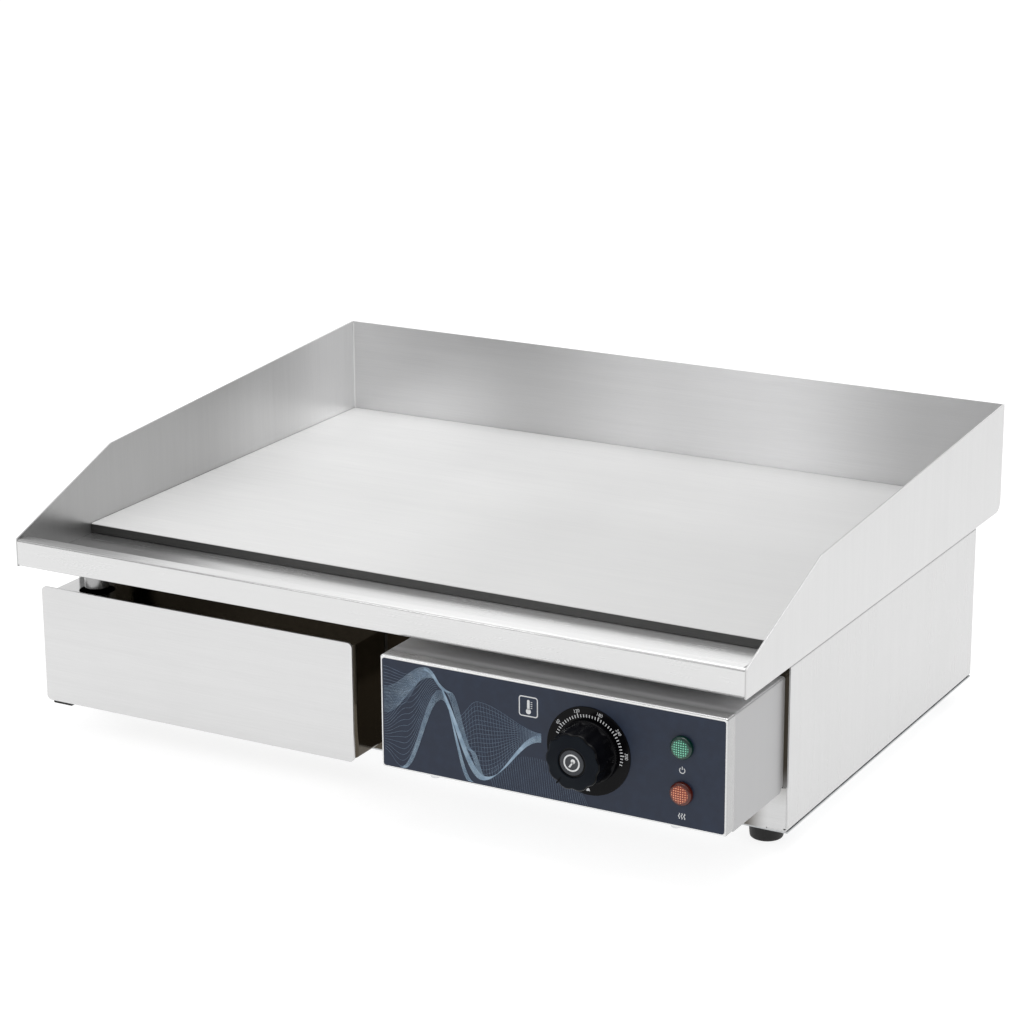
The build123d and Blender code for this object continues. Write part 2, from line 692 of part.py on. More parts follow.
# The spindle turns in the bush and carries the knob on its flatted end.
knob_front_y = panel_y - knob_height
knob_back_y = dial_front_y - knob_gap
knob_face_wall = 4.0
knob_cavity_clearance = 1.0
spindle_end_gap = 1.0
spindle_front_y = knob_front_y + knob_recess_depth + knob_face_wall
cavity_front_y = bush_front_y - knob_cavity_clearance
spindle_flat = 0.8
flat_height = spindle_diameter / 2 - spindle_flat
with BuildPart() as thermostat_spindle:
    turned_along_y(knob_x, knob_z, [
        (spindle_front_y, spindle_bore_end_y - spindle_end_gap, spindle_diameter / 2)])
    slab(knob_x - spindle_diameter, knob_x + spindle_diameter, spindle_front_y, cavity_front_y,
         knob_z + flat_height, knob_z + spindle_diameter, mode=Mode.SUBTRACT)
thermostat_spindle.part.label = "thermostat_spindle"
export_step(thermostat_spindle.part, "parts/thermostat_spindle.step")

# The knob: a skirt ring, a slightly tapered scalloped grip, a domed face with a round
# recess and a pointer groove. It is hollow behind, round the nut.
skirt_front_y = knob_back_y - knob_skirt_height
skirt_bevel = 0.6
dome_rise = 0.8  # middle of the face ahead of its rim
rim_depth = 1.4
rim_width = 1.6
rim_swell = 0.7  # share of the rim's depth and width that its round edge fills at the middle
recess_bevel = 0.5
grip_front_y = knob_front_y + dome_rise + rim_depth
face_rim_radius = knob_top_diameter / 2 - rim_width
recess_floor_y = knob_front_y + knob_recess_depth
cavity_radius = nut_across_flats * 0.85
scallop_distance = knob_top_diameter / 2 + knob_scallop_radius - knob_scallop_depth
pointer_angle = -125.0  # direction of the pointer at rest, seen from the front
pointer_length = 7.0
pointer_width = 1.2
pointer_depth = 1.0  # below the outer edge of the face
scallop_lift = 1.0  # lower end of the scallops above the skirt
with BuildPart() as knob:
    with BuildSketch(Plane.YZ.offset(knob_x)):
        with BuildLine():
            Polyline(
                (recess_floor_y, knob_z),
                (knob_back_y, knob_z),
                (knob_back_y, knob_z + knob_skirt_diameter / 2),
                (skirt_front_y + skirt_bevel, knob_z + knob_skirt_diameter / 2),
                (skirt_front_y, knob_z + knob_skirt_diameter / 2 - skirt_bevel),
                (skirt_front_y, knob_z + knob_base_diameter / 2),
                (grip_front_y, knob_z + knob_top_diameter / 2),
            )
            ThreePointArc(
                (grip_front_y, knob_z + knob_top_diameter / 2),
                (grip_front_y - rim_depth * rim_swell, knob_z + face_rim_radius + rim_width * rim_swell),
                (grip_front_y - rim_depth, knob_z + face_rim_radius),
            )
            Polyline(
                (grip_front_y - rim_depth, knob_z + face_rim_radius),
                (knob_front_y, knob_z + knob_recess_diameter / 2 + recess_bevel),
                (knob_front_y + recess_bevel / 2, knob_z + knob_recess_diameter / 2),
                (recess_floor_y, knob_z + knob_recess_diameter / 2 - recess_bevel / 2),
                (recess_floor_y, knob_z),
            )
        make_face()
    revolve(axis=Axis((knob_x, 0, knob_z), (0, 1, 0)))
    with BuildSketch(front_plane(skirt_front_y - scallop_lift)):
        with Locations((knob_x, knob_z)):
            with PolarLocations(scallop_distance, knob_scallops, start_angle=90 / knob_scallops):
                Circle(knob_scallop_radius)
    extrude(amount=knob_height, mode=Mode.SUBTRACT)
    with BuildSketch(front_plane(knob_back_y)):
        with Locations((knob_x, knob_z)):
            Circle(cavity_radius)
    extrude(amount=knob_back_y - cavity_front_y, mode=Mode.SUBTRACT)
    with BuildSketch(front_plane(knob_back_y)):
        with Locations((knob_x, knob_z)):
            Circle(spindle_diameter / 2)
        with Locations((knob_x, knob_z + flat_height)):
            Rectangle(spindle_diameter, spindle_diameter,
                      align=(Align.CENTER, Align.MIN), mode=Mode.SUBTRACT)
    extrude(amount=knob_back_y - spindle_front_y, mode=Mode.SUBTRACT)
    with BuildSketch(front_plane(grip_front_y + pointer_depth)):
        with Locations((knob_x, knob_z)):
            with PolarLocations(knob_base_diameter / 2 - pointer_length / 2, 1,
                                start_angle=pointer_angle):
                Rectangle(pointer_length, pointer_width)
    extrude(amount=knob_height, mode=Mode.SUBTRACT)
knob.part.label = "knob"
export_step(knob.part, "parts/knob.step")

# Flat trim disc glued in the knob's recess.
cap_thickness = 0.7
with BuildPart() as knob_cap:
    turned_along_y(knob_x, knob_z, [
        (recess_floor_y - cap_thickness, recess_floor_y, cap_diameter / 2)])
    chamfer(knob_cap.faces().sort_by(Axis.Y)[0].edges(), cap_thickness / 3)
knob_cap.part.label = "knob_cap"
export_step(knob_cap.part, "parts/knob_cap.step")

# ================================ lamps ====================================================
# Each lamp has a domed coloured lens in front of the panel, a body through it and a
# push-on ring behind it.
lens_edge_radius = 2.0
for lamp, lamp_z in lamps.items():
    with BuildPart() as lamp_lens:
        turned_along_y(lamp_x, lamp_z, [(panel_y - lamp_rise, panel_y, lamp_diameter / 2)])
        fillet(lamp_lens.faces().sort_by(Axis.Y)[0].edges(), radius=lens_edge_radius)
    lamp_lens.part.label = f"{lamp}_lamp_lens"
    export_step(lamp_lens.part, f"parts/{lamp}_lamp_lens.step")

# Tab terminals are the same on the lamps and on the thermal cut-out.
blade_thickness = 0.8
blade_width = 4.8
blade_height = 8.0
lamp_blade_pitch = 6.0
with BuildPart() as lamp_bodies:
    for lamp_z in lamps.values():
        turned_along_y(lamp_x, lamp_z, [
            (panel_y, panel_y + lamp_body_length, lamp_body_diameter / 2)])
        for blade_x in (lamp_x - lamp_blade_pitch / 2, lamp_x + lamp_blade_pitch / 2):
            slab(blade_x - blade_thickness / 2, blade_x + blade_thickness / 2,
                 panel_y + lamp_body_length, panel_y + lamp_body_length + blade_height,
                 lamp_z - blade_width / 2, lamp_z + blade_width / 2)
lamp_bodies.part.label = "lamp_bodies"
export_step(lamp_bodies.part, "parts/lamp_bodies.step")

ring_width = 2.5
ring_length = 4.0
with BuildPart() as lamp_rings:
    for lamp_z in lamps.values():
        with BuildSketch(front_plane(case_front_y + ring_length)):
            with Locations((lamp_x, lamp_z)):
                Circle(lamp_hole_radius + ring_width)
                Circle(lamp_body_diameter / 2 + spindle_clearance, mode=Mode.SUBTRACT)
        extrude(amount=ring_length)
lamp_rings.part.label = "lamp_rings"
export_step(lamp_rings.part, "parts/lamp_rings.step")

# ================================ feet =========================================================
# Tapered rubber cups, each held by a screw from below and a nut on the base.
foot_edge_radius = 1.8
for foot_name, (place_x, place_y) in foot_places.items():
    with BuildPart() as foot:
        with Locations((place_x, place_y, foot_height / 2)):
            Cone(foot_bottom_diameter / 2, foot_top_diameter / 2, foot_height)
        fillet(foot.faces().sort_by(Axis.Z)[0].edges(), radius=foot_edge_radius)
        with Locations((place_x, place_y, foot_recess_depth / 2)):
            Cylinder(foot_recess_diameter / 2, foot_recess_depth, mode=Mode.SUBTRACT)
        with Locations((place_x, place_y, foot_height / 2)):
            Cylinder(foot_screw_diameter / 2 + hole_clearance, foot_height, mode=Mode.SUBTRACT)
    foot.part.label = foot_name
    export_step(foot.part, f"parts/{foot_name}.step")

foot_nut_height = 3.5
screw_tip_proud = 1.0
foot_screw_tip = base_top + foot_nut_height + screw_tip_proud
foot_head_height = 3.2
with BuildPart() as foot_screws:
    with BuildSketch(Plane.XY.offset(foot_recess_depth)):
        with Locations(*foot_places.values()):
            Circle(foot_screw_diameter / 2)
    extrude(amount=foot_screw_tip - foot_recess_depth)
    with BuildSketch(Plane.XY.offset(foot_recess_depth - foot_head_height)):
        with Locations(*foot_places.values()):
            Circle(foot_screw_head / 2)
    extrude(amount=foot_head_height)
foot_screws.part.label = "foot_screws"
export_step(foot_screws.part, "parts/foot_screws.step")

with BuildPart() as foot_nuts:
    with BuildSketch(Plane.XY.offset(base_top)):
        with Locations(*foot_places.values()):
            RegularPolygon(0.8 * foot_screw_diameter, 6, major_radius=False)
            Circle(foot_screw_diameter / 2 + spindle_clearance, mode=Mode.SUBTRACT)
    extrude(amount=foot_nut_height)
foot_nuts.part.label = "foot_nuts"
export_step(foot_nuts.part, "parts/foot_nuts.step")

# ================================ heating ========================================================
# Each tubular element runs to and fro under its half of the plate. Its thin terminal
# pins point to the back.
pin_diameter = 3.6
pin_length = 5.0
pin_root = 1.0  # pin inside the end of the sheath
turn_margin = 5.0
front_turn_y = cutout_front_y + element_diameter + turn_margin
rear_turn_y = cutout_rear_y - 4 * element_diameter
element_end_y = cutout_rear_y - pin_length - pin_root
for side, sign in (("left", -1), ("right", 1)):
    leg_xs = [sign * leg_pitch * (index + 0.5) for index in range(element_legs)]
    route = [(leg_xs[0], element_end_y)]
    for index, leg_x in enumerate(leg_xs):
        turn_y = front_turn_y if index % 2 == 0 else rear_turn_y
        route.append((leg_x, turn_y))
        if index + 1 < element_legs:
            route.append((leg_xs[index + 1], turn_y))
    route[-1] = (leg_xs[-1], element_end_y)
    with BuildPart() as heating_element:
        with BuildLine() as element_route:
            FilletPolyline(*[(x, y, element_z) for x, y in route], radius=0.48 * leg_pitch)
        start = Plane(origin=element_route.line @ 0, z_dir=element_route.line % 0)
        with BuildSketch(start):
            Circle(element_diameter / 2)
        sweep()
        for pin_x in (leg_xs[0], leg_xs[-1]):
            turned_along_y(pin_x, element_z, [
                (element_end_y - pin_root, element_end_y + pin_length, pin_diameter / 2)])
    heating_element.part.label = f"heating_element_{side}"
    export_step(heating_element.part, f"parts/heating_element_{side}.step")

stud_hole_radius = stud_diameter / 2 + 2 * hole_clearance
stud_places = [(x, y) for x in stud_x for y in clamp_y]
bar_end_gap = 10.0
bar_end_x = cutout_x - bar_end_gap
with BuildPart() as element_clamp_bars:
    for bar_y in clamp_y:
        slab(-bar_end_x, bar_end_x, bar_y - clamp_bar_width / 2, bar_y + clamp_bar_width / 2,
             clamp_bottom, clamp_top)
    with BuildSketch(Plane.XY.offset(clamp_bottom)):
        with Locations(*stud_places):
            Circle(stud_hole_radius)
    extrude(amount=clamp_bar_thickness, mode=Mode.SUBTRACT)
element_clamp_bars.part.label = "element_clamp_bars"
export_step(element_clamp_bars.part, "parts/element_clamp_bars.step")

stud_tip_z = clamp_bottom - nut_height - stud_overhang
with BuildPart() as clamp_studs:
    with BuildSketch(Plane.XY.offset(stud_tip_z)):
        with Locations(*stud_places):
            Circle(stud_diameter / 2)
    extrude(amount=tray_top - stud_tip_z)
clamp_studs.part.label = "clamp_studs"
export_step(clamp_studs.part, "parts/clamp_studs.step")

clamp_nut_across_flats = 10.0
with BuildPart() as clamp_nuts:
    with BuildSketch(Plane.XY.offset(clamp_bottom - nut_height)):
        with Locations(*stud_places):
            RegularPolygon(clamp_nut_across_flats / 2, 6, major_radius=False)
            Circle(stud_diameter / 2 + spindle_clearance, mode=Mode.SUBTRACT)
    extrude(amount=nut_height)
clamp_nuts.part.label = "clamp_nuts"
export_step(clamp_nuts.part, "parts/clamp_nuts.step")

# The heat shield is a shallow tray hung under the shell. Its rear wall is low, so that
# the elements' ends pass over it, and its front wall is notched for the capillary.
shield_side_margin = 10.0
shield_front_margin = 9.0
shield_end_gap = 6.0
shield_wall_drop = 4.0
shield_x = cutout_x + shield_side_margin
shield_front_y = cutout_front_y - shield_front_margin
shield_rear_y = element_end_y - shield_end_gap
shield_rear_top = element_bottom - shield_wall_drop
bulb_x = bulb_leg_gap - leg_pitch / 2
capillary_radius = 0.8
notch_half_width = 2.0
with BuildPart() as heat_shield:
    slab(-shield_x, shield_x, shield_front_y, shield_rear_y, shield_bottom, shell_bottom)
    slab(-shield_x + sheet, shield_x - sheet, shield_front_y + sheet, shield_rear_y - sheet,
         shield_bottom + sheet, shell_bottom, mode=Mode.SUBTRACT)
    slab(-shield_x + sheet, shield_x - sheet, shield_rear_y - 2 * sheet, shield_rear_y,
         shield_rear_top, shell_bottom, mode=Mode.SUBTRACT)
    slab(bulb_x - notch_half_width, bulb_x + notch_half_width,
         shield_front_y, shield_front_y + 2 * sheet,
         element_bottom, shell_bottom, mode=Mode.SUBTRACT)
heat_shield.part.label = "heat_shield"
export_step(heat_shield.part, "parts/heat_shield.step")

with BuildPart() as insulation_board:
    slab(-shield_x + 2 * sheet, shield_x - 2 * sheet, shield_front_y + 2 * sheet,
         shield_rear_y - 2 * sheet, insulation_bottom, insulation_bottom + insulation_thickness)
insulation_board.part.label = "insulation_board"
export_step(insulation_board.part, "parts/insulation_board.step")

# The sensing bulb lies against the underside of the plate in a folded strap.
bulb_z = tray_top - bulb_diameter / 2 - element_contact_gap
bulb_front_y = middle_y - bulb_length / 2
with BuildPart() as sensing_bulb:
    turned_along_y(bulb_x, bulb_z, [
        (bulb_front_y, bulb_front_y + bulb_length, bulb_diameter / 2)])
    fillet(sensing_bulb.edges(), radius=bulb_diameter / 5)
sensing_bulb.part.label = "sensing_bulb"
export_step(sensing_bulb.part, "parts/sensing_bulb.step")

strap_sheet = 0.8
strap_width = 12.0
strap_foot = 7.0
strap_bend_radius = 0.5
strap_half = bulb_diameter / 2 + hole_clearance + strap_sheet / 2
strap_low_z = bulb_z - strap_half
strap_high_z = tray_top - strap_sheet / 2
with BuildPart() as bulb_strap:
    bent_sheet(
        front_plane(middle_y + strap_width / 2),
        [
            (bulb_x - strap_half - strap_foot, strap_high_z),
            (bulb_x - strap_half, strap_high_z),
            (bulb_x - strap_half, strap_low_z),
            (bulb_x + strap_half, strap_low_z),
            (bulb_x + strap_half, strap_high_z),
            (bulb_x + strap_half + strap_foot, strap_high_z),
        ],
        strap_width,
        thickness=strap_sheet,
        radius=strap_bend_radius,
    )
bulb_strap.part.label = "bulb_strap"
export_step(bulb_strap.part, "parts/bulb_strap.step")

# The capillary leads from the bulb through the cable hole to the thermostat.
capillary_rise = 4.2  # above the middle of the cable hole
capillary_bend = 6.0
capillary_z = cable_hole_z + capillary_rise
capillary_drop_y = body_front_y + end_flange + 2 * capillary_radius
capillary_box_y = case_rear_y + 2 * capillary_bend + 2 * capillary_radius
with BuildPart() as capillary_tube:
    with BuildLine() as capillary_route:
        FilletPolyline(
            (bulb_x, bulb_front_y, bulb_z),
            (bulb_x, capillary_drop_y, bulb_z),
            (cable_hole_x, capillary_drop_y, bulb_z),
            (cable_hole_x, capillary_drop_y, capillary_z),
            (cable_hole_x, capillary_box_y, capillary_z),
            (knob_x, capillary_box_y, capillary_z),
            (knob_x, case_rear_y, capillary_z),
            radius=capillary_bend,
        )
    start = Plane(origin=capillary_route.line @ 0, z_dir=capillary_route.line % 0)
    with BuildSketch(start):
        Circle(capillary_radius)
    sweep()
capillary_tube.part.label = "capillary_tube"
export_step(capillary_tube.part, "parts/capillary_tube.step")

# The wires run in one sleeve from the control box along the base to the terminals.
harness_radius = 2.5
harness_bend = 8.0
harness_z = cable_hole_z - harness_radius
harness_box_y = body_front_y - 18.0
harness_box_z = box_bottom + 16.0
harness_low_z = base_top + 8.0
harness_drop_y = body_front_y + 4 * harness_bend
harness_lamp_gap = 24.0
block_from_side = 155.0
block_left = side_x - block_from_side
block_width = 62.0
block_depth = 24.0
block_height = 16.0
block_y = body_rear_y - 52.0
harness_end_y = block_y + block_depth / 2
with BuildPart() as wiring_harness:
    with BuildLine() as harness_route:
        FilletPolyline(
            (lamp_x - harness_lamp_gap, harness_box_y, harness_box_z),
            (cable_hole_x, harness_box_y, harness_box_z),
            (cable_hole_x, harness_box_y, harness_z),
            (cable_hole_x, harness_drop_y, harness_z),
            (cable_hole_x, harness_drop_y, harness_low_z),
            (cable_hole_x, harness_end_y, harness_low_z),
            (block_left, harness_end_y, harness_low_z),
            radius=harness_bend,
        )
    start = Plane(origin=harness_route.line @ 0, z_dir=harness_route.line % 0)
    with BuildSketch(start):
        Circle(harness_radius)
    sweep()
wiring_harness.part.label = "wiring_harness"
export_step(wiring_harness.part, "parts/wiring_harness.step")

# Rubber grommet in the cable hole: a tube with a flange on each side of the sheet.
grommet_bore_radius = 7.0
grommet_flange_radius = 12.0
grommet_flange = 2.0
with BuildPart() as panel_grommet:
    turned_along_y(cable_hole_x, cable_hole_z, [
        (body_front_y - grommet_flange, body_front_y, grommet_flange_radius),
        (body_front_y, body_front_y + sheet, cable_hole_radius),
        (body_front_y + sheet, body_front_y + sheet + grommet_flange, grommet_flange_radius)])
    bore_along_y(cable_hole_x, cable_hole_z, body_front_y - grommet_flange,
                 body_front_y + sheet + grommet_flange, grommet_bore_radius)
panel_grommet.part.label = "panel_grommet"
export_step(panel_grommet.part, "parts/panel_grommet.step")

# Disc cut-out that opens the circuit if the plate overheats, under the heat shield.
cutout_body_radius = 8.0
cutout_body_height = 11.0
cutout_ear_half = 15.0
cutout_ear_depth = 12.0
cutout_blade_pitch = 10.0
overheat_x = side_x / 2
cutout_body_bottom = shield_bottom - sheet - cutout_body_height
with BuildPart() as overheat_cutout:
    slab(overheat_x - cutout_ear_half, overheat_x + cutout_ear_half,
         middle_y - cutout_ear_depth / 2, middle_y + cutout_ear_depth / 2,
         shield_bottom - sheet, shield_bottom)
    with BuildSketch(Plane.XY.offset(cutout_body_bottom)):
        with Locations((overheat_x, middle_y)):
            Circle(cutout_body_radius)
    extrude(amount=cutout_body_height)
    for blade_x in (overheat_x - cutout_blade_pitch / 2, overheat_x + cutout_blade_pitch / 2):
        slab(blade_x - blade_thickness / 2, blade_x + blade_thickness / 2,
             middle_y - blade_width / 2, middle_y + blade_width / 2,
             cutout_body_bottom - blade_height, cutout_body_bottom)
overheat_cutout.part.label = "overheat_cutout"
export_step(overheat_cutout.part, "parts/overheat_cutout.step")

# Ceramic terminal block on the base near the cable gland.
block_ways = 3
block_chamfer = 1.0
way_radius = 2.6
way_pitch = block_width / block_ways
with BuildPart() as terminal_block:
    slab(block_left, block_left + block_width, block_y, block_y + block_depth,
         base_top, base_top + block_height)
    top_rim = terminal_block.faces().sort_by(Axis.Z)[-1].edges()
    chamfer(top_rim, block_chamfer)
    with BuildSketch(Plane.XY.offset(base_top + block_height)):
        with Locations((block_left + block_width / 2, block_y + block_depth / 2)):
            with GridLocations(way_pitch, block_depth / 2, block_ways, 2):
                Circle(way_radius)
    extrude(amount=-block_height / 2, mode=Mode.SUBTRACT)
terminal_block.part.label = "terminal_block"
export_step(terminal_block.part, "parts/terminal_block.step")

# Brass earth stud with a hexagon shoulder, next to the terminal block.
earth_block_gap = 26.0
earth_shoulder_height = 4.0
earth_across_flats = 10.0
earth_thread_diameter = 5.0
earth_thread_length = 14.0
earth_x = block_left + block_width + earth_block_gap
earth_y = block_y + block_depth / 2
with BuildPart() as earth_stud:
    with BuildSketch(Plane.XY.offset(base_top)):
        with Locations((earth_x, earth_y)):
            RegularPolygon(earth_across_flats / 2, 6, major_radius=False)
    extrude(amount=earth_shoulder_height)
    with BuildSketch(Plane.XY.offset(base_top + earth_shoulder_height)):
        with Locations((earth_x, earth_y)):
            Circle(earth_thread_diameter / 2)
    extrude(amount=earth_thread_length)
earth_stud.part.label = "earth_stud"
export_step(earth_stud.part, "parts/earth_stud.step")

# ================================ cable gland and rear screws =======================================
gland_shank_length = 9.0  # inside the rear panel
gland_shank_inner_y = body_rear_y - sheet - gland_shank_length
gland_hex_length = 6.0
gland_dome_share = 0.86  # dome across the hexagon's flats
gland_dome_radius = 3.0
with BuildPart() as cable_gland:
    turned_along_y(gland_x, gland_z, [
        (gland_shank_inner_y, body_rear_y, gland_shank_diameter / 2),
        (body_rear_y + gland_hex_length, body_rear_y + gland_length, gland_dome_share * gland_hex / 2)])
    with BuildSketch(front_plane(body_rear_y + gland_hex_length)):
        with Locations((gland_x, gland_z)):
            RegularPolygon(gland_hex / 2, 6, major_radius=False)
    extrude(amount=gland_hex_length)
    dome_rim = cable_gland.faces().sort_by(Axis.Y)[-1].edges()
    fillet(dome_rim, radius=gland_dome_radius)
    bore_along_y(gland_x, gland_z, gland_shank_inner_y, body_rear_y + gland_length,
                 gland_bore / 2)
cable_gland.part.label = "cable_gland"
export_step(cable_gland.part, "parts/cable_gland.step")

gland_nut_thickness = 4.0
with BuildPart() as gland_nut:
    with BuildSketch(front_plane(body_rear_y - sheet)):
        with Locations((gland_x, gland_z)):
            RegularPolygon(gland_hex / 2, 6, major_radius=False)
            Circle(gland_shank_diameter / 2 + spindle_clearance, mode=Mode.SUBTRACT)
    extrude(amount=gland_nut_thickness)
gland_nut.part.label = "gland_nut"
export_step(gland_nut.part, "parts/gland_nut.step")

with BuildPart() as rear_screws:
    with BuildSketch(front_plane(body_rear_y)):
        with Locations(*rear_screw_places):
            Circle(small_screw_diameter / 2)
    extrude(amount=screw_length)
    with BuildSketch(front_plane(body_rear_y + screw_head_height)):
        with Locations(*rear_screw_places):
            Circle(small_screw_head / 2)
    extrude(amount=screw_head_height)
    rear_head_rims = rear_screws.faces().sort_by(Axis.Y)[-len(rear_screw_places):].edges()
    fillet(rear_head_rims, radius=screw_head_height / 3)
rear_screws.part.label = "rear_screws"
export_step(rear_screws.part, "parts/rear_screws.step")
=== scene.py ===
import math

import bmesh
import bpy
from mathutils import Matrix, Vector


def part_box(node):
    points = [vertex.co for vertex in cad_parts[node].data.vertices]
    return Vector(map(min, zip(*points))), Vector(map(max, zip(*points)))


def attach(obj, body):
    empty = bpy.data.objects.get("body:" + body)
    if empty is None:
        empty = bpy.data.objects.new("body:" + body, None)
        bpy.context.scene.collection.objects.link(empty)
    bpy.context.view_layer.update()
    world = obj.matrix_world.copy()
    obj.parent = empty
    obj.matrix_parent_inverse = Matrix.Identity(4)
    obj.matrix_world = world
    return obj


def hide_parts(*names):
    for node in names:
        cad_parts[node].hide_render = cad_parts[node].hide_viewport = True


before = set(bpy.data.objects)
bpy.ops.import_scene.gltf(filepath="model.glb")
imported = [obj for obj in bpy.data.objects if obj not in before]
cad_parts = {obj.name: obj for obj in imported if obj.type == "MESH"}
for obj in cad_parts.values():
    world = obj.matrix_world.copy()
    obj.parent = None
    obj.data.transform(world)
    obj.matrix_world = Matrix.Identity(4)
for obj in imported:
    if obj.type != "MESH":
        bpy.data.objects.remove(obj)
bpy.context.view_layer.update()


# ================================ camera =====================================
# A long lens stands to the right of the griddle's front and looks slightly down
# on it, so that the plate, both front boxes and the right side all show.
camera_azimuth = math.radians(29.054)
camera_elevation = math.radians(17.174)
camera_roll = math.radians(-0.32)
camera_place = Vector((0.9718, -1.74325, 0.7689))

towards_camera = Vector((
    math.sin(camera_azimuth) * math.cos(camera_elevation),
    -math.cos(camera_azimuth) * math.cos(camera_elevation),
    math.sin(camera_elevation),
))
level_right = (-towards_camera).cross(Vector((0, 0, 1))).normalized()
level_up = level_right.cross(-towards_camera)
rolled_right = level_right * math.cos(camera_roll) + level_up * math.sin(camera_roll)
rolled_up = level_up * math.cos(camera_roll) - level_right * math.sin(camera_roll)
camera_data = bpy.data.cameras.new("studio_camera")
camera_data.sensor_width = 36.0
camera_data.lens = 105.2
camera = bpy.data.objects.new("studio_camera", camera_data)
camera.matrix_world = Matrix.Translation(camera_place) @ Matrix(
    (rolled_right, rolled_up, towards_camera)).transposed().to_4x4()
bpy.context.scene.collection.objects.link(camera)
bpy.context.scene.camera = camera
bpy.context.scene.view_settings.view_transform = "Standard"


# ================================ studio =====================================
# A glowing white floor, a bright wall of light behind the griddle and a softbox
# above it. The side that faces the front is dim, which gives the steel its darks.
def new_material(name):
    """A node material, its node tree and its Principled shader."""
    material = bpy.data.materials.new(name)
    material.use_nodes = True
    return material, material.node_tree, material.node_tree.nodes["Principled BSDF"]


def mesh_piece(name, build, material, smooth_angle=None):
    """An object whose mesh is filled in by build(bm); smooth where flatter than the angle."""
    mesh = bpy.data.meshes.new(name)
    bm = bmesh.new()
    build(bm)
    bmesh.ops.recalc_face_normals(bm, faces=bm.faces)
    bm.to_mesh(mesh)
    bm.free()
    mesh.materials.append(material)
    if smooth_angle is not None:
        mesh.shade_smooth()
        mesh.set_sharp_from_angle(angle=math.radians(smooth_angle))
    piece = bpy.data.objects.new(name, mesh)
    bpy.context.scene.collection.objects.link(piece)
    return piece


def add_node(tree, kind, **settings):
    """A shader node with the given settings."""
    node = tree.nodes.new(kind)
    for setting, value in settings.items():
        setattr(node, setting, value)
    return node


def ramp(tree, value, low, high, out_low, out_high, smooth=False):
    """value moved from low..high to out_low..out_high, and held at both ends."""
    node = add_node(tree, "ShaderNodeMapRange")
    if smooth:
        node.interpolation_type = "SMOOTHSTEP"
    tree.links.new(value, node.inputs["Value"])
    for name, number in (("From Min", low), ("From Max", high),
                         ("To Min", out_low), ("To Max", out_high)):
        node.inputs[name].default_value = number
    return node.outputs["Result"]


def math_step(tree, operation, *values):
    """One math node on sockets or plain numbers."""
    node = add_node(tree, "ShaderNodeMath", operation=operation)
    for socket, value in zip(node.inputs, values):
        if isinstance(value, (int, float)):
            socket.default_value = value
        else:
            tree.links.new(value, socket)
    return node.outputs[0]


floor_half = 6.0
floor_glow = 0.84


def build_floor(bm):
    corners = [(-1, -1), (1, -1), (1, 1), (-1, 1)]
    bm.faces.new([bm.verts.new((x * floor_half, y * floor_half, 0)) for x, y in corners])


floor_paint, _, floor_shader = new_material("pale_floor")
floor_shader.inputs["Base Color"].default_value = (0.3, 0.3, 0.3, 1)
floor_shader.inputs["Roughness"].default_value = 0.9
floor_shader.inputs["Specular IOR Level"].default_value = 0.0
floor_shader.inputs["Emission Color"].default_value = (1, 1, 1, 1)
floor_shader.inputs["Emission Strength"].default_value = floor_glow
floor = mesh_piece("studio_floor", build_floor, floor_paint)

front_strength = 0.30
added_strength = 0.60
right_share = 0.45
world = bpy.data.worlds.new("studio_light")
bpy.context.scene.world = world
world.use_nodes = True
world_tree = world.node_tree
direction = add_node(world_tree, "ShaderNodeTexCoord").outputs["Generated"]
direction_parts = add_node(world_tree, "ShaderNodeSeparateXYZ")
world_tree.links.new(direction, direction_parts.inputs[0])
back_glow = ramp(world_tree, direction_parts.outputs["Y"], -0.25, 0.35, 0.0, 1.0, smooth=True)
right_dimming = ramp(world_tree, direction_parts.outputs["X"], 0.0, 0.4, 1.0, right_share,
                     smooth=True)
back_glow = math_step(world_tree, "MULTIPLY", back_glow, right_dimming)
top_glow = ramp(world_tree, direction_parts.outputs["Z"], 0.35, 0.75, 0.0, 1.0, smooth=True)
glow = math_step(world_tree, "MAXIMUM", back_glow, top_glow)
strength = math_step(world_tree, "MULTIPLY_ADD", glow, added_strength, front_strength)
world_tree.links.new(strength, world_tree.nodes["Background"].inputs["Strength"])
world_tree.nodes["Background"].inputs["Color"].default_value = (1, 1, 1, 1)


def soft_light(name, place, target, size, power):
    """A square area light at place, aimed at target."""
    data = bpy.data.lights.new(name, "AREA")
    data.size = size
    data.energy = power
    light = bpy.data.objects.new(name, data)
    light.location = place
    light.rotation_euler = (Vector(target) - Vector(place)).to_track_quat("-Z", "Y").to_euler()
    bpy.context.scene.collection.objects.link(light)


soft_light("top_softbox", (0.2, 0.1, 2.2), (0, 0, 0), 1.5, 22)
soft_light("front_softbox", (-0.78, -1.62, 0.80), (0.08, 0.1, 0.1), 0.36, 1.6)


# ================================ upper shell ================================
# The shell is brushed stainless sheet: two side guards, the back guard and the
# folded trough tray. Its grain is fine straight lines from the belt grinder, and
# broad painted reflections along each sheet stand in for the bands that it would mirror.
def start_group(name, inputs, outputs):
    """A shader node group with named sockets, its input node and its output node."""
    group = bpy.data.node_groups.new(name, "ShaderNodeTree")
    for socket_name, kind, value in inputs:
        socket = group.interface.new_socket(socket_name, in_out="INPUT", socket_type=kind)
        socket.default_value = value
    for socket_name, kind in outputs:
        group.interface.new_socket(socket_name, in_out="OUTPUT", socket_type=kind)
    return group, group.nodes.new("NodeGroupInput"), group.nodes.new("NodeGroupOutput")


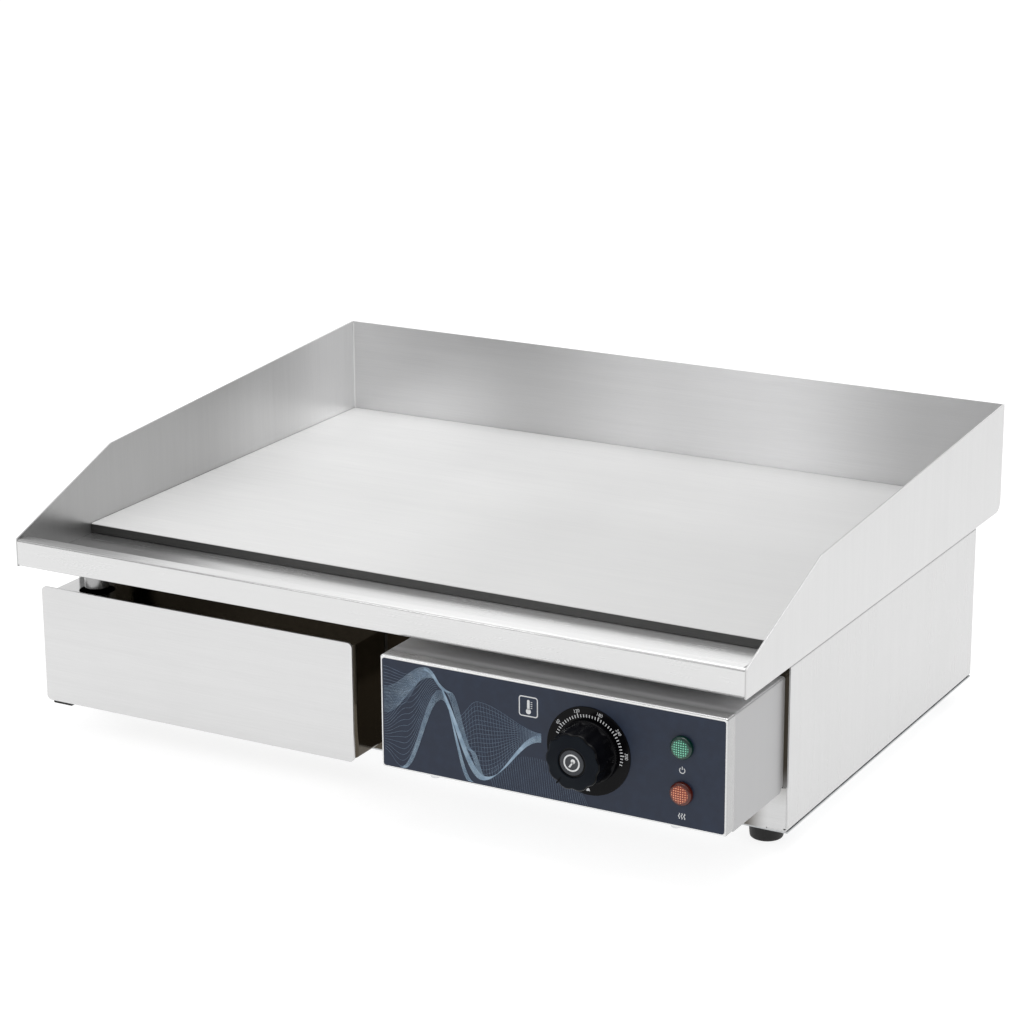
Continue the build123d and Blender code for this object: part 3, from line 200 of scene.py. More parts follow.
def stretched_noise(tree, place, stretch, detail=2.0, roughness=0.5):
    """Noise read at the place times a vector, which may be a socket."""
    times = add_node(tree, "ShaderNodeVectorMath", operation="MULTIPLY")
    tree.links.new(place, times.inputs[0])
    if isinstance(stretch, tuple):
        times.inputs[1].default_value = stretch
    else:
        tree.links.new(stretch, times.inputs[1])
    noise = add_node(tree, "ShaderNodeTexNoise")
    noise.inputs["Scale"].default_value = 1.0
    noise.inputs["Detail"].default_value = detail
    noise.inputs["Roughness"].default_value = roughness
    tree.links.new(times.outputs[0], noise.inputs["Vector"])
    return noise.outputs["Fac"]


def weighted_sum(tree, *terms):
    """The sum of each value times its weight."""
    total = 0.0
    for value, weight in terms:
        total = math_step(tree, "MULTIPLY_ADD", value, weight, total)
    return total


def build_belt_grain():
    """Fine grinding lines, wide faint bands and soft clouding, each from 0 to 1."""
    group, given, result = start_group(
        "belt_grain",
        [("Fine Lines", "NodeSocketVector", (30.0, 1500.0, 1500.0)),
         ("Wide Bands", "NodeSocketVector", (4.0, 170.0, 170.0))],
        [("Grain", "NodeSocketFloat"), ("Bands", "NodeSocketFloat"), ("Cloud", "NodeSocketFloat")],
    )
    place = group.nodes.new("ShaderNodeTexCoord").outputs["Object"]
    group.links.new(stretched_noise(group, place, given.outputs["Fine Lines"], 3.0, 0.6),
                    result.inputs["Grain"])
    group.links.new(stretched_noise(group, place, given.outputs["Wide Bands"]),
                    result.inputs["Bands"])
    group.links.new(stretched_noise(group, place, (6.0, 6.0, 6.0)), result.inputs["Cloud"])
    return group


def build_handling_marks():
    """Faint smudges and a few short hairline scratches left by cleaning, each 0 to 1."""
    group, given, result = start_group(
        "handling_marks",
        [("Smudge Size", "NodeSocketFloat", 14.0)],
        [("Smudge", "NodeSocketFloat"), ("Scratch", "NodeSocketFloat")],
    )
    place = group.nodes.new("ShaderNodeTexCoord").outputs["Object"]
    times = add_node(group, "ShaderNodeVectorMath", operation="SCALE")
    group.links.new(place, times.inputs[0])
    group.links.new(given.outputs["Smudge Size"], times.inputs["Scale"])
    smudge = stretched_noise(group, times.outputs[0], (1.0, 1.3, 1.1), 4.0, 0.65)
    group.links.new(ramp(group, smudge, 0.5, 0.72, 0.0, 1.0), result.inputs["Smudge"])
    hair = stretched_noise(group, place, (38.0, 900.0, 620.0), 1.0, 0.3)
    patch = stretched_noise(group, place, (9.0, 9.0, 9.0), 1.0, 0.5)
    scratch = math_step(group, "MULTIPLY", ramp(group, hair, 0.7, 0.76, 0.0, 1.0),
                        ramp(group, patch, 0.52, 0.62, 0.0, 1.0))
    group.links.new(scratch, result.inputs["Scratch"])
    return group


belt_grain = build_belt_grain()
handling_marks = build_handling_marks()
fine_line = 1500.0
fine_run = 32.0
wide_band = 170.0
wide_run = 4.0


def along_axis(axis, run, line):
    """A stretch with long runs along one axis and narrow lines across it."""
    return tuple(run if name == axis else line for name in "xyz")


def blend_colours(tree, share, first, second):
    """first where share is 0 and second where it is 1."""
    node = add_node(tree, "ShaderNodeMix", data_type="RGBA")
    tree.links.new(share, node.inputs["Factor"])
    for socket, colour in ((node.inputs["A"], first), (node.inputs["B"], second)):
        if isinstance(colour, tuple):
            socket.default_value = (*colour, 1.0)
        else:
            tree.links.new(colour, socket)
    return node.outputs["Result"]


def object_place(tree):
    """The X, Y and Z sockets of the place on the piece."""
    place = add_node(tree, "ShaderNodeSeparateXYZ")
    tree.links.new(add_node(tree, "ShaderNodeTexCoord").outputs["Object"], place.inputs[0])
    return place.outputs


def add_relief(tree, shader, height, strength, distance):
    """A bump on the shader from one height."""
    bump = add_node(tree, "ShaderNodeBump")
    bump.inputs["Strength"].default_value = strength
    bump.inputs["Distance"].default_value = distance
    tree.links.new(height, bump.inputs["Height"])
    tree.links.new(bump.outputs["Normal"], shader.inputs["Normal"])


def brushed_steel(name, axis, dark, light, rough_low, rough_high, relief=0.25, metal=0.85):
    """Stainless sheet ground along one axis; the grain moves tone, gloss and relief."""
    material, tree, shader = new_material(name)
    grain = add_node(tree, "ShaderNodeGroup", node_tree=belt_grain)
    grain.inputs["Fine Lines"].default_value = along_axis(axis, fine_run, fine_line)
    grain.inputs["Wide Bands"].default_value = along_axis(axis, wide_run, wide_band)
    marks = add_node(tree, "ShaderNodeGroup", node_tree=handling_marks)
    tone = weighted_sum(tree, (grain.outputs["Grain"], 0.5), (grain.outputs["Bands"], 0.35),
                        (grain.outputs["Cloud"], 0.15))
    share = ramp(tree, tone, 0.35, 0.65, 0.0, 1.0)
    tree.links.new(blend_colours(tree, share, dark, light), shader.inputs["Base Color"])
    rough = ramp(tree, tone, 0.35, 0.65, rough_low, rough_high)
    rough = math_step(tree, "MULTIPLY_ADD", marks.outputs["Smudge"], 0.035, rough)
    tree.links.new(rough, shader.inputs["Roughness"])
    height = weighted_sum(tree, (grain.outputs["Grain"], 1.0), (marks.outputs["Scratch"], -0.5))
    add_relief(tree, shader, height, relief, 0.00002)
    shader.inputs["Metallic"].default_value = metal
    return material


def paint_nodes(material, *nodes):
    """Gives CAD nodes this material in every slot."""
    for node in nodes:
        for material_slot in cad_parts[node].material_slots:
            material_slot.material = material


def mirrored_bands(material, axis, tones, inside=None):
    """Painted light and shade fixed to a sheet, as (place, tone) pairs along one axis.

    They are painted reflections of the light and dark bands that the bare sheet would mirror,
    and painted shade where shade falls on it. inside names another axis and how far from
    the middle the tones reach along it.
    """
    tree = material.node_tree
    shader = tree.nodes["Principled BSDF"]
    no_painted_light = shader.inputs["Base Color"].links[0].from_socket
    place = object_place(tree)
    start, end = tones[0][0], tones[-1][0]
    share = ramp(tree, place[axis], start, end, 0.0, 1.0)
    curve = add_node(tree, "ShaderNodeValToRGB")
    curve.color_ramp.interpolation = "EASE"
    while len(curve.color_ramp.elements) < len(tones):
        curve.color_ramp.elements.new(0.5)
    for element, (spot, tone) in zip(curve.color_ramp.elements, tones):
        element.position = (spot - start) / (end - start)
        element.color = (tone, tone, tone, 1.0)
    tree.links.new(share, curve.inputs["Fac"])
    toned = add_node(tree, "ShaderNodeMix", data_type="RGBA", blend_type="MULTIPLY")
    if inside is None:
        toned.inputs["Factor"].default_value = 1.0
    else:
        inside_axis, inside_reach = inside
        reach = math_step(tree, "ABSOLUTE", place[inside_axis])
        tree.links.new(math_step(tree, "LESS_THAN", reach, inside_reach), toned.inputs["Factor"])
    tree.links.new(no_painted_light, toned.inputs["A"])
    tree.links.new(curve.outputs["Color"], toned.inputs["B"])
    tree.links.new(toned.outputs["Result"], shader.inputs["Base Color"])


guard_sheet = 0.0012
thin_sheet = 0.001
guard_outer_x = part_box("side_guard_right")[1].x
apron_reach = -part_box("trough_tray")[0].y
guard_steel = brushed_steel("guard_steel", "z", (0.62, 0.62, 0.62), (0.66, 0.66, 0.66),
                            0.28, 0.33, relief=0.15)
back_steel = brushed_steel("back_steel", "x", (0.68, 0.68, 0.685), (0.73, 0.73, 0.735),
                           0.28, 0.35)
trough_steel = brushed_steel("trough_steel", "x", (0.67, 0.67, 0.67), (0.71, 0.71, 0.71),
                             0.20, 0.28, relief=0.1)
# Painted reflections: light and dark bands on the guards' inner faces, along the back guard and
# along the trough behind its apron.
mirrored_bands(guard_steel, "Y", [(-0.200, 0.76), (0.02, 0.76), (0.12, 1.0), (0.22, 1.45)],
               inside=("X", guard_outer_x - guard_sheet / 2))
mirrored_bands(back_steel, "X", [(-0.275, 1.0), (-0.21, 1.05), (-0.11, 0.80), (0.0, 1.08),
                                 (0.10, 1.24), (0.22, 0.83), (0.275, 0.80)])
mirrored_bands(trough_steel, "X", [(-0.275, 0.50), (-0.22, 0.54), (-0.12, 1.20), (0.09, 1.38),
                                   (0.275, 1.32)], inside=("Y", apron_reach - thin_sheet / 2))
paint_nodes(guard_steel, "side_guard_left", "side_guard_right")
paint_nodes(back_steel, "back_guard")
paint_nodes(trough_steel, "trough_tray", "drain_pipe")

weld_size = 0.0012
weld_steps = 5
weld_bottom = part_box("griddle_plate")[1].z
back_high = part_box("back_guard")[1]
weld_y = back_high.y - thin_sheet


def add_prism(bm, first, second):
    """A closed solid between two outlines with the same number of points."""
    near = [bm.verts.new(point) for point in first]
    far = [bm.verts.new(point) for point in second]
    bm.faces.new(near)
    bm.faces.new(list(reversed(far)))
    for index in range(len(near)):
        after = (index + 1) % len(near)
        bm.faces.new((far[index], far[after], near[after], near[index]))


def build_welds(bm):
    for side in (-1, 1):
        corner_x = side * (guard_outer_x - guard_sheet)
        arc = [(corner_x - side * weld_size * (1 - math.sin(math.pi / 2 * step / weld_steps)),
                weld_y - weld_size * (1 - math.cos(math.pi / 2 * step / weld_steps)))
               for step in range(weld_steps + 1)]
        outline = [(corner_x, weld_y), *arc]
        add_prism(bm, [(x, y, weld_bottom) for x, y in outline],
                  [(x, y, back_high.z - weld_size) for x, y in outline])


weld_steel = brushed_steel("weld_bead", "z", (0.80, 0.80, 0.80), (0.88, 0.88, 0.88), 0.3, 0.45)
welds = mesh_piece("corner_welds", build_welds, weld_steel, smooth_angle=40)
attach(welds, "griddle")


# ================================ griddle plate ==============================
# Thick carbon steel ground on top with long even lines. Its edge faces are coloured
# much darker, with a bright arris of the top's colour along their upper edge. Its broad
# tones are painted light and painted shade.
plate_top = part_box("griddle_plate")[1].z
plate_steel, plate_tree, plate_shader = new_material("plate_steel")
plate_grain = add_node(plate_tree, "ShaderNodeGroup", node_tree=belt_grain)
plate_grain.inputs["Fine Lines"].default_value = along_axis("x", 24.0, 1300.0)
plate_grain.inputs["Wide Bands"].default_value = along_axis("x", 3.0, 120.0)
plate_tone = weighted_sum(plate_tree, (plate_grain.outputs["Grain"], 0.65),
                          (plate_grain.outputs["Bands"], 0.2), (plate_grain.outputs["Cloud"], 0.15))
plate_share = ramp(plate_tree, plate_tone, 0.32, 0.68, 0.0, 1.0)
ground_top = blend_colours(plate_tree, plate_share, (0.67, 0.67, 0.67), (0.74, 0.74, 0.735))
# Edge faces: a much darker colour than the top.
edge_colour = blend_colours(plate_tree, plate_share, (0.045, 0.045, 0.045), (0.07, 0.07, 0.068))
arris = 0.0007
on_top = ramp(plate_tree, object_place(plate_tree)["Z"], plate_top - arris, plate_top - arris / 2,
              0.0, 1.0)
plate_tree.links.new(blend_colours(plate_tree, on_top, edge_colour, ground_top),
                     plate_shader.inputs["Base Color"])
plate_tree.links.new(ramp(plate_tree, plate_tone, 0.35, 0.65, 0.38, 0.48),
                     plate_shader.inputs["Roughness"])
add_relief(plate_tree, plate_shader, plate_grain.outputs["Grain"], 0.35, 0.00003)
plate_shader.inputs["Metallic"].default_value = 0.3
# Painted light and shade on the plate: lighter to the left and towards the back, darker to the
# right.
mirrored_bands(plate_steel, "X", [(-0.27, 1.15), (-0.10, 1.02), (0.05, 0.90), (0.22, 0.84)])
mirrored_bands(plate_steel, "Y", [(-0.116, 1.0), (0.03, 1.0), (0.12, 1.08), (0.235, 1.2)])
paint_nodes(plate_steel, "griddle_plate")

# ================================ body =======================================
# Side channels and rear panel in brushed sheet, front panel in bright annealed
# sheet with painted shade, dark brown where it would mirror a shaded gap. Hidden
# sheets are plain galvanised steel.
side_steel = brushed_steel("side_steel", "z", (0.60, 0.60, 0.60), (0.64, 0.64, 0.64),
                           0.26, 0.32, relief=0.15)
dark_fade = 0.02


def shaded_steel(name, axis, dark_height, light_height, light_left, light_right):
    """Bright annealed sheet with painted shade, dark brown as if it mirrored a shaded gap, but
    light left and low right.
    """
    material = brushed_steel(name, axis, (0.62, 0.62, 0.62), (0.68, 0.68, 0.68), 0.08, 0.14,
                             relief=0.03, metal=1.0)
    tree = material.node_tree
    shader = tree.nodes["Principled BSDF"]
    bright = shader.inputs["Base Color"].links[0].from_socket
    place = object_place(tree)
    low_down = ramp(tree, place["Z"], dark_height, light_height, 0.0, 1.0, smooth=True)
    leftmost = ramp(tree, place["X"], light_left + dark_fade, light_left, 0.0, 1.0, smooth=True)
    rightmost = ramp(tree, place["X"], light_right - dark_fade, light_right, 0.0, 1.0,
                     smooth=True)
    low_right = math_step(tree, "MULTIPLY", low_down, rightmost)
    no_painted_light = math_step(tree, "MAXIMUM", low_right, leftmost)
    # Painted shade: dark brown for the shaded gaps the sheet would mirror, kept off the far left
    # and the low far right.
    tree.links.new(blend_colours(tree, no_painted_light, (0.085, 0.073, 0.056), bright),
                   shader.inputs["Base Color"])
    return material


# The front panel carries this painted shade.
mirror_steel = shaded_steel("mirror_steel", "x", 0.062, 0.030, -0.262, 0.262)
paint_nodes(side_steel, "side_panel_left", "side_panel_right", "rear_panel")
paint_nodes(mirror_steel, "front_panel")


def build_zinc_spangle():
    """Angular zinc crystals: a tone for each crystal, from 0 to 1."""
    group, given, result = start_group(
        "zinc_spangle", [("Crystals", "NodeSocketFloat", 160.0)], [("Tone", "NodeSocketFloat")])
    place = group.nodes.new("ShaderNodeTexCoord").outputs["Object"]
    cells = add_node(group, "ShaderNodeTexVoronoi")
    group.links.new(place, cells.inputs["Vector"])
    group.links.new(given.outputs["Crystals"], cells.inputs["Scale"])
    parts = add_node(group, "ShaderNodeSeparateColor")
    group.links.new(cells.outputs["Color"], parts.inputs[0])
    group.links.new(parts.outputs[0], result.inputs["Tone"])
    return group


zinc_spangle = build_zinc_spangle()


def zinc_finish(name, crystals, dark, light, rough_low, rough_high):
    """Zinc coated steel with crystals of one size."""
    material, tree, shader = new_material(name)
    spangle = add_node(tree, "ShaderNodeGroup", node_tree=zinc_spangle)
    spangle.inputs["Crystals"].default_value = crystals
    colour = blend_colours(tree, spangle.outputs["Tone"], dark, light)
    tree.links.new(colour, shader.inputs["Base Color"])
    rough = ramp(tree, spangle.outputs["Tone"], 0.0, 1.0, rough_low, rough_high)
    tree.links.new(rough, shader.inputs["Roughness"])
    add_relief(tree, shader, spangle.outputs["Tone"], 0.05, 0.00005)
    shader.inputs["Metallic"].default_value = 1.0
    return material


galvanised = zinc_finish("galvanised_sheet", 140.0, (0.46, 0.47, 0.48), (0.58, 0.59, 0.60),
                         0.32, 0.48)
zinc_plate = zinc_finish("zinc_plated", 900.0, (0.60, 0.61, 0.62), (0.70, 0.71, 0.73), 0.2, 0.3)
paint_nodes(galvanised, "base_plate", "drawer_rail_left", "drawer_rail_right", "heat_shield",
            "control_box_bottom", "element_clamp_bars", "bulb_strap")
paint_nodes(zinc_plate, "box_screws", "rear_screws", "foot_screws", "foot_nuts", "clamp_studs",
            "clamp_nuts", "thermostat_nut", "thermostat_spindle", "overheat_cutout")

# ================================ grease drawer ==============================
# Brushed front, ground along its length, on a bright pan and a lift-off cover, with
# the same painted shade. A black rubber pad sits under the left end of the front and
# stands in for a sliver of shadow there.
drawer_steel = brushed_steel("drawer_steel", "x", (0.665, 0.665, 0.665), (0.71, 0.71, 0.71),
                             0.3, 0.36)
# Painted shade on the pan and cover: dark brown except at the far left and low on the right half.
pan_steel = shaded_steel("pan_steel", "y", 0.060, 0.020, -0.245, 0.0)
paint_nodes(drawer_steel, "drawer_front")
paint_nodes(pan_steel, "drawer_box", "drawer_cover")


def build_moulded_skin():
    """The fine orange peel of a moulded plastic or rubber surface, 0 to 1."""
    group, given, result = start_group(
        "moulded_skin", [("Peel Size", "NodeSocketFloat", 900.0)],
        [("Peel", "NodeSocketFloat"), ("Dust", "NodeSocketFloat")])
    place = group.nodes.new("ShaderNodeTexCoord").outputs["Object"]
    for output, base, detail in (("Peel", 1.0, 2.0), ("Dust", 0.06, 5.0)):
        noise = add_node(group, "ShaderNodeTexNoise")
        group.links.new(place, noise.inputs["Vector"])
        group.links.new(math_step(group, "MULTIPLY", given.outputs["Peel Size"], base),
                        noise.inputs["Scale"])
        noise.inputs["Detail"].default_value = detail
        group.links.new(noise.outputs["Fac"], result.inputs[output])
    return group


moulded_skin = build_moulded_skin()


def moulded(name, dark, light, rough_low, rough_high, peel=900.0, relief=0.1, specular=0.5):
    """Moulded plastic, rubber or ceramic with a fine skin and a little dust."""
    material, tree, shader = new_material(name)
    skin = add_node(tree, "ShaderNodeGroup", node_tree=moulded_skin)
    skin.inputs["Peel Size"].default_value = peel
    dust = ramp(tree, skin.outputs["Dust"], 0.4, 0.7, 0.0, 1.0)
    tree.links.new(blend_colours(tree, dust, dark, light), shader.inputs["Base Color"])
    tree.links.new(ramp(tree, skin.outputs["Dust"], 0.35, 0.7, rough_low, rough_high),
                   shader.inputs["Roughness"])
    add_relief(tree, shader, skin.outputs["Peel"], relief, 0.00005)
    shader.inputs["Specular IOR Level"].default_value = specular
    return material


foot_rubber = moulded("foot_rubber", (0.012, 0.012, 0.012), (0.03, 0.03, 0.03), 0.45, 0.6,
                      peel=600.0, relief=0.3, specular=0.3)
# drawer_pad is a black pad that stands in for a sliver of shadow under the drawer front.
paint_nodes(foot_rubber, "drawer_pad", "panel_grommet", "foot_front_left", "foot_front_right",
            "foot_rear_left", "foot_rear_right")

# ================================ control box ================================
# A folded brushed cover and a shallow pan as its front. A dark printed film with
# a fine satin grain covers the front, with a narrow steel margin round it.
box_steel = brushed_steel("box_steel", "z", (0.44, 0.44, 0.445), (0.46, 0.46, 0.465),
                          0.34, 0.4, relief=0.1, metal=0.4)
box_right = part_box("control_box_shell")[1].x
# Painted shade and painted light on the box, all but its right side: dark at the front, light
# towards the back under the shell.
mirrored_bands(box_steel, "Y", [(-0.2165, 0.40), (-0.207, 0.52), (-0.199, 1.1), (-0.19, 1.6),
                                (-0.132, 1.8)], inside=("X", box_right - thin_sheet / 2))
panel_steel = brushed_steel("panel_steel", "x", (0.72, 0.72, 0.72), (0.80, 0.80, 0.80), 0.16, 0.24)
paint_nodes(box_steel, "control_box_shell")
panel_low, panel_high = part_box("control_panel")
# Painted shade on the panel's right return: its last 1.2 mm darkens to six tenths.
return_fade = 0.0012
mirrored_bands(panel_steel, "X", [(panel_low.x, 1.0), (panel_high.x - return_fade, 1.0),
                                  (panel_high.x - return_fade / 3, 0.62), (panel_high.x, 0.60)])
paint_nodes(panel_steel, "control_panel")
panel_film = moulded("panel_film", (0.010, 0.018, 0.040), (0.014, 0.024, 0.050), 0.38, 0.46,
                     peel=2600.0, relief=0.15, specular=0.35)
paint_nodes(panel_film, "panel_overlay")

# ================================ printed waves ==============================
# Sheaves of hair-thin pale blue lines printed on the left of the film. Each sheaf
# runs evenly from one edge curve to another, as a printer's blend does.
film_low, film_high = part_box("panel_overlay")
film_width = film_high.x - film_low.x
film_height = film_high.z - film_low.z
film_face = film_low.y
ink_rise = 0.00004


def printed_ink(name, dark, light):
    """Opaque screen ink, slightly uneven in tone."""
    return moulded(name, dark, light, 0.4, 0.5, peel=3000.0, relief=0.1, specular=0.3)


def add_ribbon(bm, points, width, rise=ink_rise):
    """A closed flat band of ink along points in the plane of the film."""
    stations = []
    for index, point in enumerate(points):
        ahead = points[min(index + 1, len(points) - 1)]
        behind = points[max(index - 1, 0)]
        run = Vector((ahead[0] - behind[0], ahead[1] - behind[1])).normalized()
        side = Vector((-run.y, run.x)) * width / 2
        stations.append([
            bm.verts.new((point[0] + sign * side.x, y, point[1] + sign * side.y))
            for sign, y in ((1, film_face), (1, film_face - rise),
                            (-1, film_face - rise), (-1, film_face))
        ])
    for first, second in zip(stations, stations[1:]):
        for corner in range(4):
            after = (corner + 1) % 4
            bm.faces.new((first[corner], first[after], second[after], second[corner]))
    bm.faces.new(stations[0])
    bm.faces.new(stations[-1])


def film_spot(across, height):
    """A place on the film from shares of its width and height."""
    return film_low.x + across * film_width, film_low.z + height * film_height


def wave_height(knots, across):
    """Height of a curve that eases between knots of (across, height)."""
    for (x0, z0), (x1, z1) in zip(knots, knots[1:]):
        if x0 <= across <= x1:
            share = (across - x0) / (x1 - x0)
            return z0 + (z1 - z0) * (1 - math.cos(math.pi * share)) / 2
    return None


def blended_knots(first, second, share):
    """Knots part of the way from one curve to another."""
    return [(a + (c - a) * share, b + (d - b) * share) for (a, b), (c, d) in zip(first, second)]


wave_step = 0.006
wave_line = 0.00013
faint_line = 0.00012
mesh_line = 0.00010
layer_step = 0.03
film_margin = 0.008


def add_sheaf(bm, first, second, lines, width=wave_line, layer=0.0):
    """Evenly spaced lines between two edge curves, each laid a hair above the last."""
    for line in range(lines):
        knots = blended_knots(first, second, line / (lines - 1))
        start, end = knots[0][0], knots[-1][0]
        steps = max(4, round((end - start) / wave_step))
        points = []
        for step in range(steps + 1):
            across = start + (end - start) * step / steps
            height = wave_height(knots, min(max(across, knots[0][0]), knots[-1][0]))
            height = min(max(height, film_margin), 1 - film_margin)
            points.append(film_spot(across, height))
        add_ribbon(bm, points, width, ink_rise * (1 + layer + layer_step * line))


def build_bright_waves(bm):
    add_sheaf(bm, [(0.004, 0.74), (0.135, 0.985), (0.300, 0.045), (0.478, 0.56)],
              [(0.004, 0.50), (0.150, 0.90), (0.312, 0.085), (0.478, 0.50)], 20)
    add_sheaf(bm, [(0.052, 0.01), (0.178, 0.80), (0.262, 0.01)],
              [(0.064, 0.01), (0.182, 0.72), (0.276, 0.01)], 10, layer=0.7)
    add_sheaf(bm, [(0.13, 0.975), (0.19, 0.80), (0.262, 0.30), (0.30, 0.06)],
              [(0.13, 0.955), (0.21, 0.80), (0.275, 0.30), (0.315, 0.06)], 9, layer=1.1)


def build_faint_waves(bm):
    add_sheaf(bm, [(0.004, 0.93), (0.075, 0.89), (0.135, 0.97)],
              [(0.004, 0.56), (0.055, 0.60), (0.135, 0.90)], 13, width=faint_line)
    add_sheaf(bm, [(0.004, 0.48), (0.085, 0.80), (0.16, 0.96)],
              [(0.004, 0.16), (0.055, 0.02), (0.175, 0.70)], 15, width=faint_line)
    add_sheaf(bm, [(0.225, 0.58), (0.290, 0.76), (0.478, 0.58)],
              [(0.262, 0.16), (0.300, 0.10), (0.478, 0.54)], 17, width=faint_line)
    for line in range(24):
        across = 0.252 + 0.009 * line
        top = wave_height([(0.225, 0.58), (0.290, 0.76), (0.478, 0.58)], across)
        low = wave_height([(0.225, 0.20), (0.300, 0.06), (0.478, 0.52)], across)
        if top is None or low is None:
            continue
        lean = 0.03 * (top - low)
        add_ribbon(bm, [film_spot(across + lean, low), film_spot(across, top)], mesh_line)
    for line in range(42):
        across = 0.335 + 0.0068 * line
        top = 0.05 + 0.30 * math.sin(math.pi * min(1.0, (across - 0.32) / 0.30)) ** 0.7
        add_ribbon(bm, [film_spot(across, film_margin), film_spot(across - 0.012, top)], mesh_line)


bright_ink = printed_ink("bright_blue_ink", (0.24, 0.34, 0.45), (0.38, 0.50, 0.61))
faint_ink = printed_ink("faint_blue_ink", (0.14, 0.20, 0.285), (0.21, 0.29, 0.39))
for name, build, ink in (("waves_bright", build_bright_waves, bright_ink),
                         ("waves_faint", build_faint_waves, faint_ink)):
    waves = mesh_piece(name, build, ink)
    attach(waves, "griddle")

# ================================ printed symbols ============================
# White symbols on the film: a thermometer in a rounded frame by the dial, a mains
# symbol under the upper lamp and rising heat under the lower one.
white_ink = printed_ink("white_ink", (0.70, 0.71, 0.72), (0.82, 0.83, 0.84))


def ring_points(x, z, radius, start, end, steps):
    """Points on a circle from one angle to another, in degrees."""
    return [(x + radius * math.cos(math.radians(start + (end - start) * step / steps)),
             z + radius * math.sin(math.radians(start + (end - start) * step / steps)))
            for step in range(steps + 1)]


def add_patch(bm, points, depth_face, rise):
    """A flat closed patch with the outline, raised from a face along -Y."""
    add_prism(bm, [(x, depth_face - rise, z) for x, z in points],
              [(x, depth_face, z) for x, z in points])


icon_x, icon_z = 0.1343, 0.1039
icon_half = 0.0064
icon_corner = 0.0016
icon_line = 0.0007


def build_thermometer(bm):
    outline = []
    for corner_x, corner_z, start in ((1, 1, 0), (-1, 1, 90), (-1, -1, 180), (1, -1, 270)):
        outline += ring_points(icon_x + corner_x * (icon_half - icon_corner),
                               icon_z + corner_z * (icon_half - icon_corner),
                               icon_corner, start, start + 90, 6)
    add_ribbon(bm, outline + outline[:1], icon_line)
    stem = 0.0009
    add_patch(bm, [(icon_x - stem, icon_z - 0.0020), (icon_x + stem, icon_z - 0.0020),
                   *ring_points(icon_x, icon_z + 0.0036, stem, 0, 180, 8)], film_face, ink_rise)
    add_patch(bm, ring_points(icon_x, icon_z - 0.0032, 0.0018, 0, 345, 23), film_face, ink_rise)
    for mark in range(4):
        level = icon_z - 0.0008 + 0.0013 * mark
        add_ribbon(bm, [(icon_x + 0.0016, level), (icon_x + 0.0028, level)], 0.0004)


lamp_x = sum(corner.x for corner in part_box("power_lamp_lens")) / 2
symbol_drop = 0.0152


def lamp_middle(lamp):
    """Height of the middle of a lamp."""
    return sum(corner.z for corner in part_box(lamp)) / 2


def build_mains_symbol(bm):
    middle = lamp_middle("power_lamp_lens") - symbol_drop
    add_ribbon(bm, ring_points(lamp_x, middle, 0.0018, 125, 415, 30), 0.0005)
    add_ribbon(bm, [(lamp_x, middle + 0.0006), (lamp_x, middle + 0.0026)], 0.0005)


def build_heat_symbol(bm):
    middle = lamp_middle("heat_lamp_lens") - symbol_drop
    for place in (-1, 0, 1):
        wave = [(lamp_x + place * 0.0018 + 0.0004 * math.sin(math.pi * step / 6),
                 middle - 0.0019 + 0.0038 * step / 18) for step in range(19)]
        add_ribbon(bm, wave, 0.0005)


for name, build in (("thermometer_symbol", build_thermometer), ("mains_symbol", build_mains_symbol),
                    ("heat_symbol", build_heat_symbol)):
    symbol = mesh_piece(name, build, white_ink)
    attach(symbol, "griddle")

# ================================ dial =======================================
# A glossy black disc behind the knob, printed with white ticks over three
# quarters of a turn, a few temperatures and an off mark at the bottom.
gloss_black = moulded("gloss_black", (0.0015, 0.0015, 0.002), (0.003, 0.003, 0.004), 0.16, 0.24,
                      peel=500.0, relief=0.02, specular=0.1)
paint_nodes(gloss_black, "dial_plate")
dial_low, dial_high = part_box("dial_plate")
dial_x = (dial_low.x + dial_high.x) / 2
dial_z = (dial_low.z + dial_high.z) / 2
dial_face = dial_low.y
scale_start = 158.0
scale_end = -12.0
tick_count = 35


def dial_spot(radius, degrees):
    """A place on the dial, degrees from the right and counted up."""
    return (dial_x + radius * math.cos(math.radians(degrees)),
            dial_z + radius * math.sin(math.radians(degrees)))


def build_dial_ticks(bm):
    for tick in range(tick_count):
        degrees = scale_start + (scale_end - scale_start) * tick / (tick_count - 1)
        longer = 0.0008 if tick % 7 == 3 else 0.0
        inner = dial_spot(0.0222, degrees)
        outer = dial_spot(0.0241 + longer, degrees)
        half = Vector((inner[1] - outer[1], outer[0] - inner[0])).normalized() * 0.00032
        outline = [(spot[0] + side * half.x, spot[1] + side * half.y)
                   for spot, side in ((inner, 1), (inner, -1), (outer, -1), (outer, 1))]
        add_patch(bm, outline, dial_face, ink_rise)
    add_patch(bm, [dial_spot(0.0228, 270), dial_spot(0.0262, 267), dial_spot(0.0262, 273)],
              dial_face, ink_rise)


ticks = mesh_piece("dial_ticks", build_dial_ticks, white_ink)
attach(ticks, "griddle")

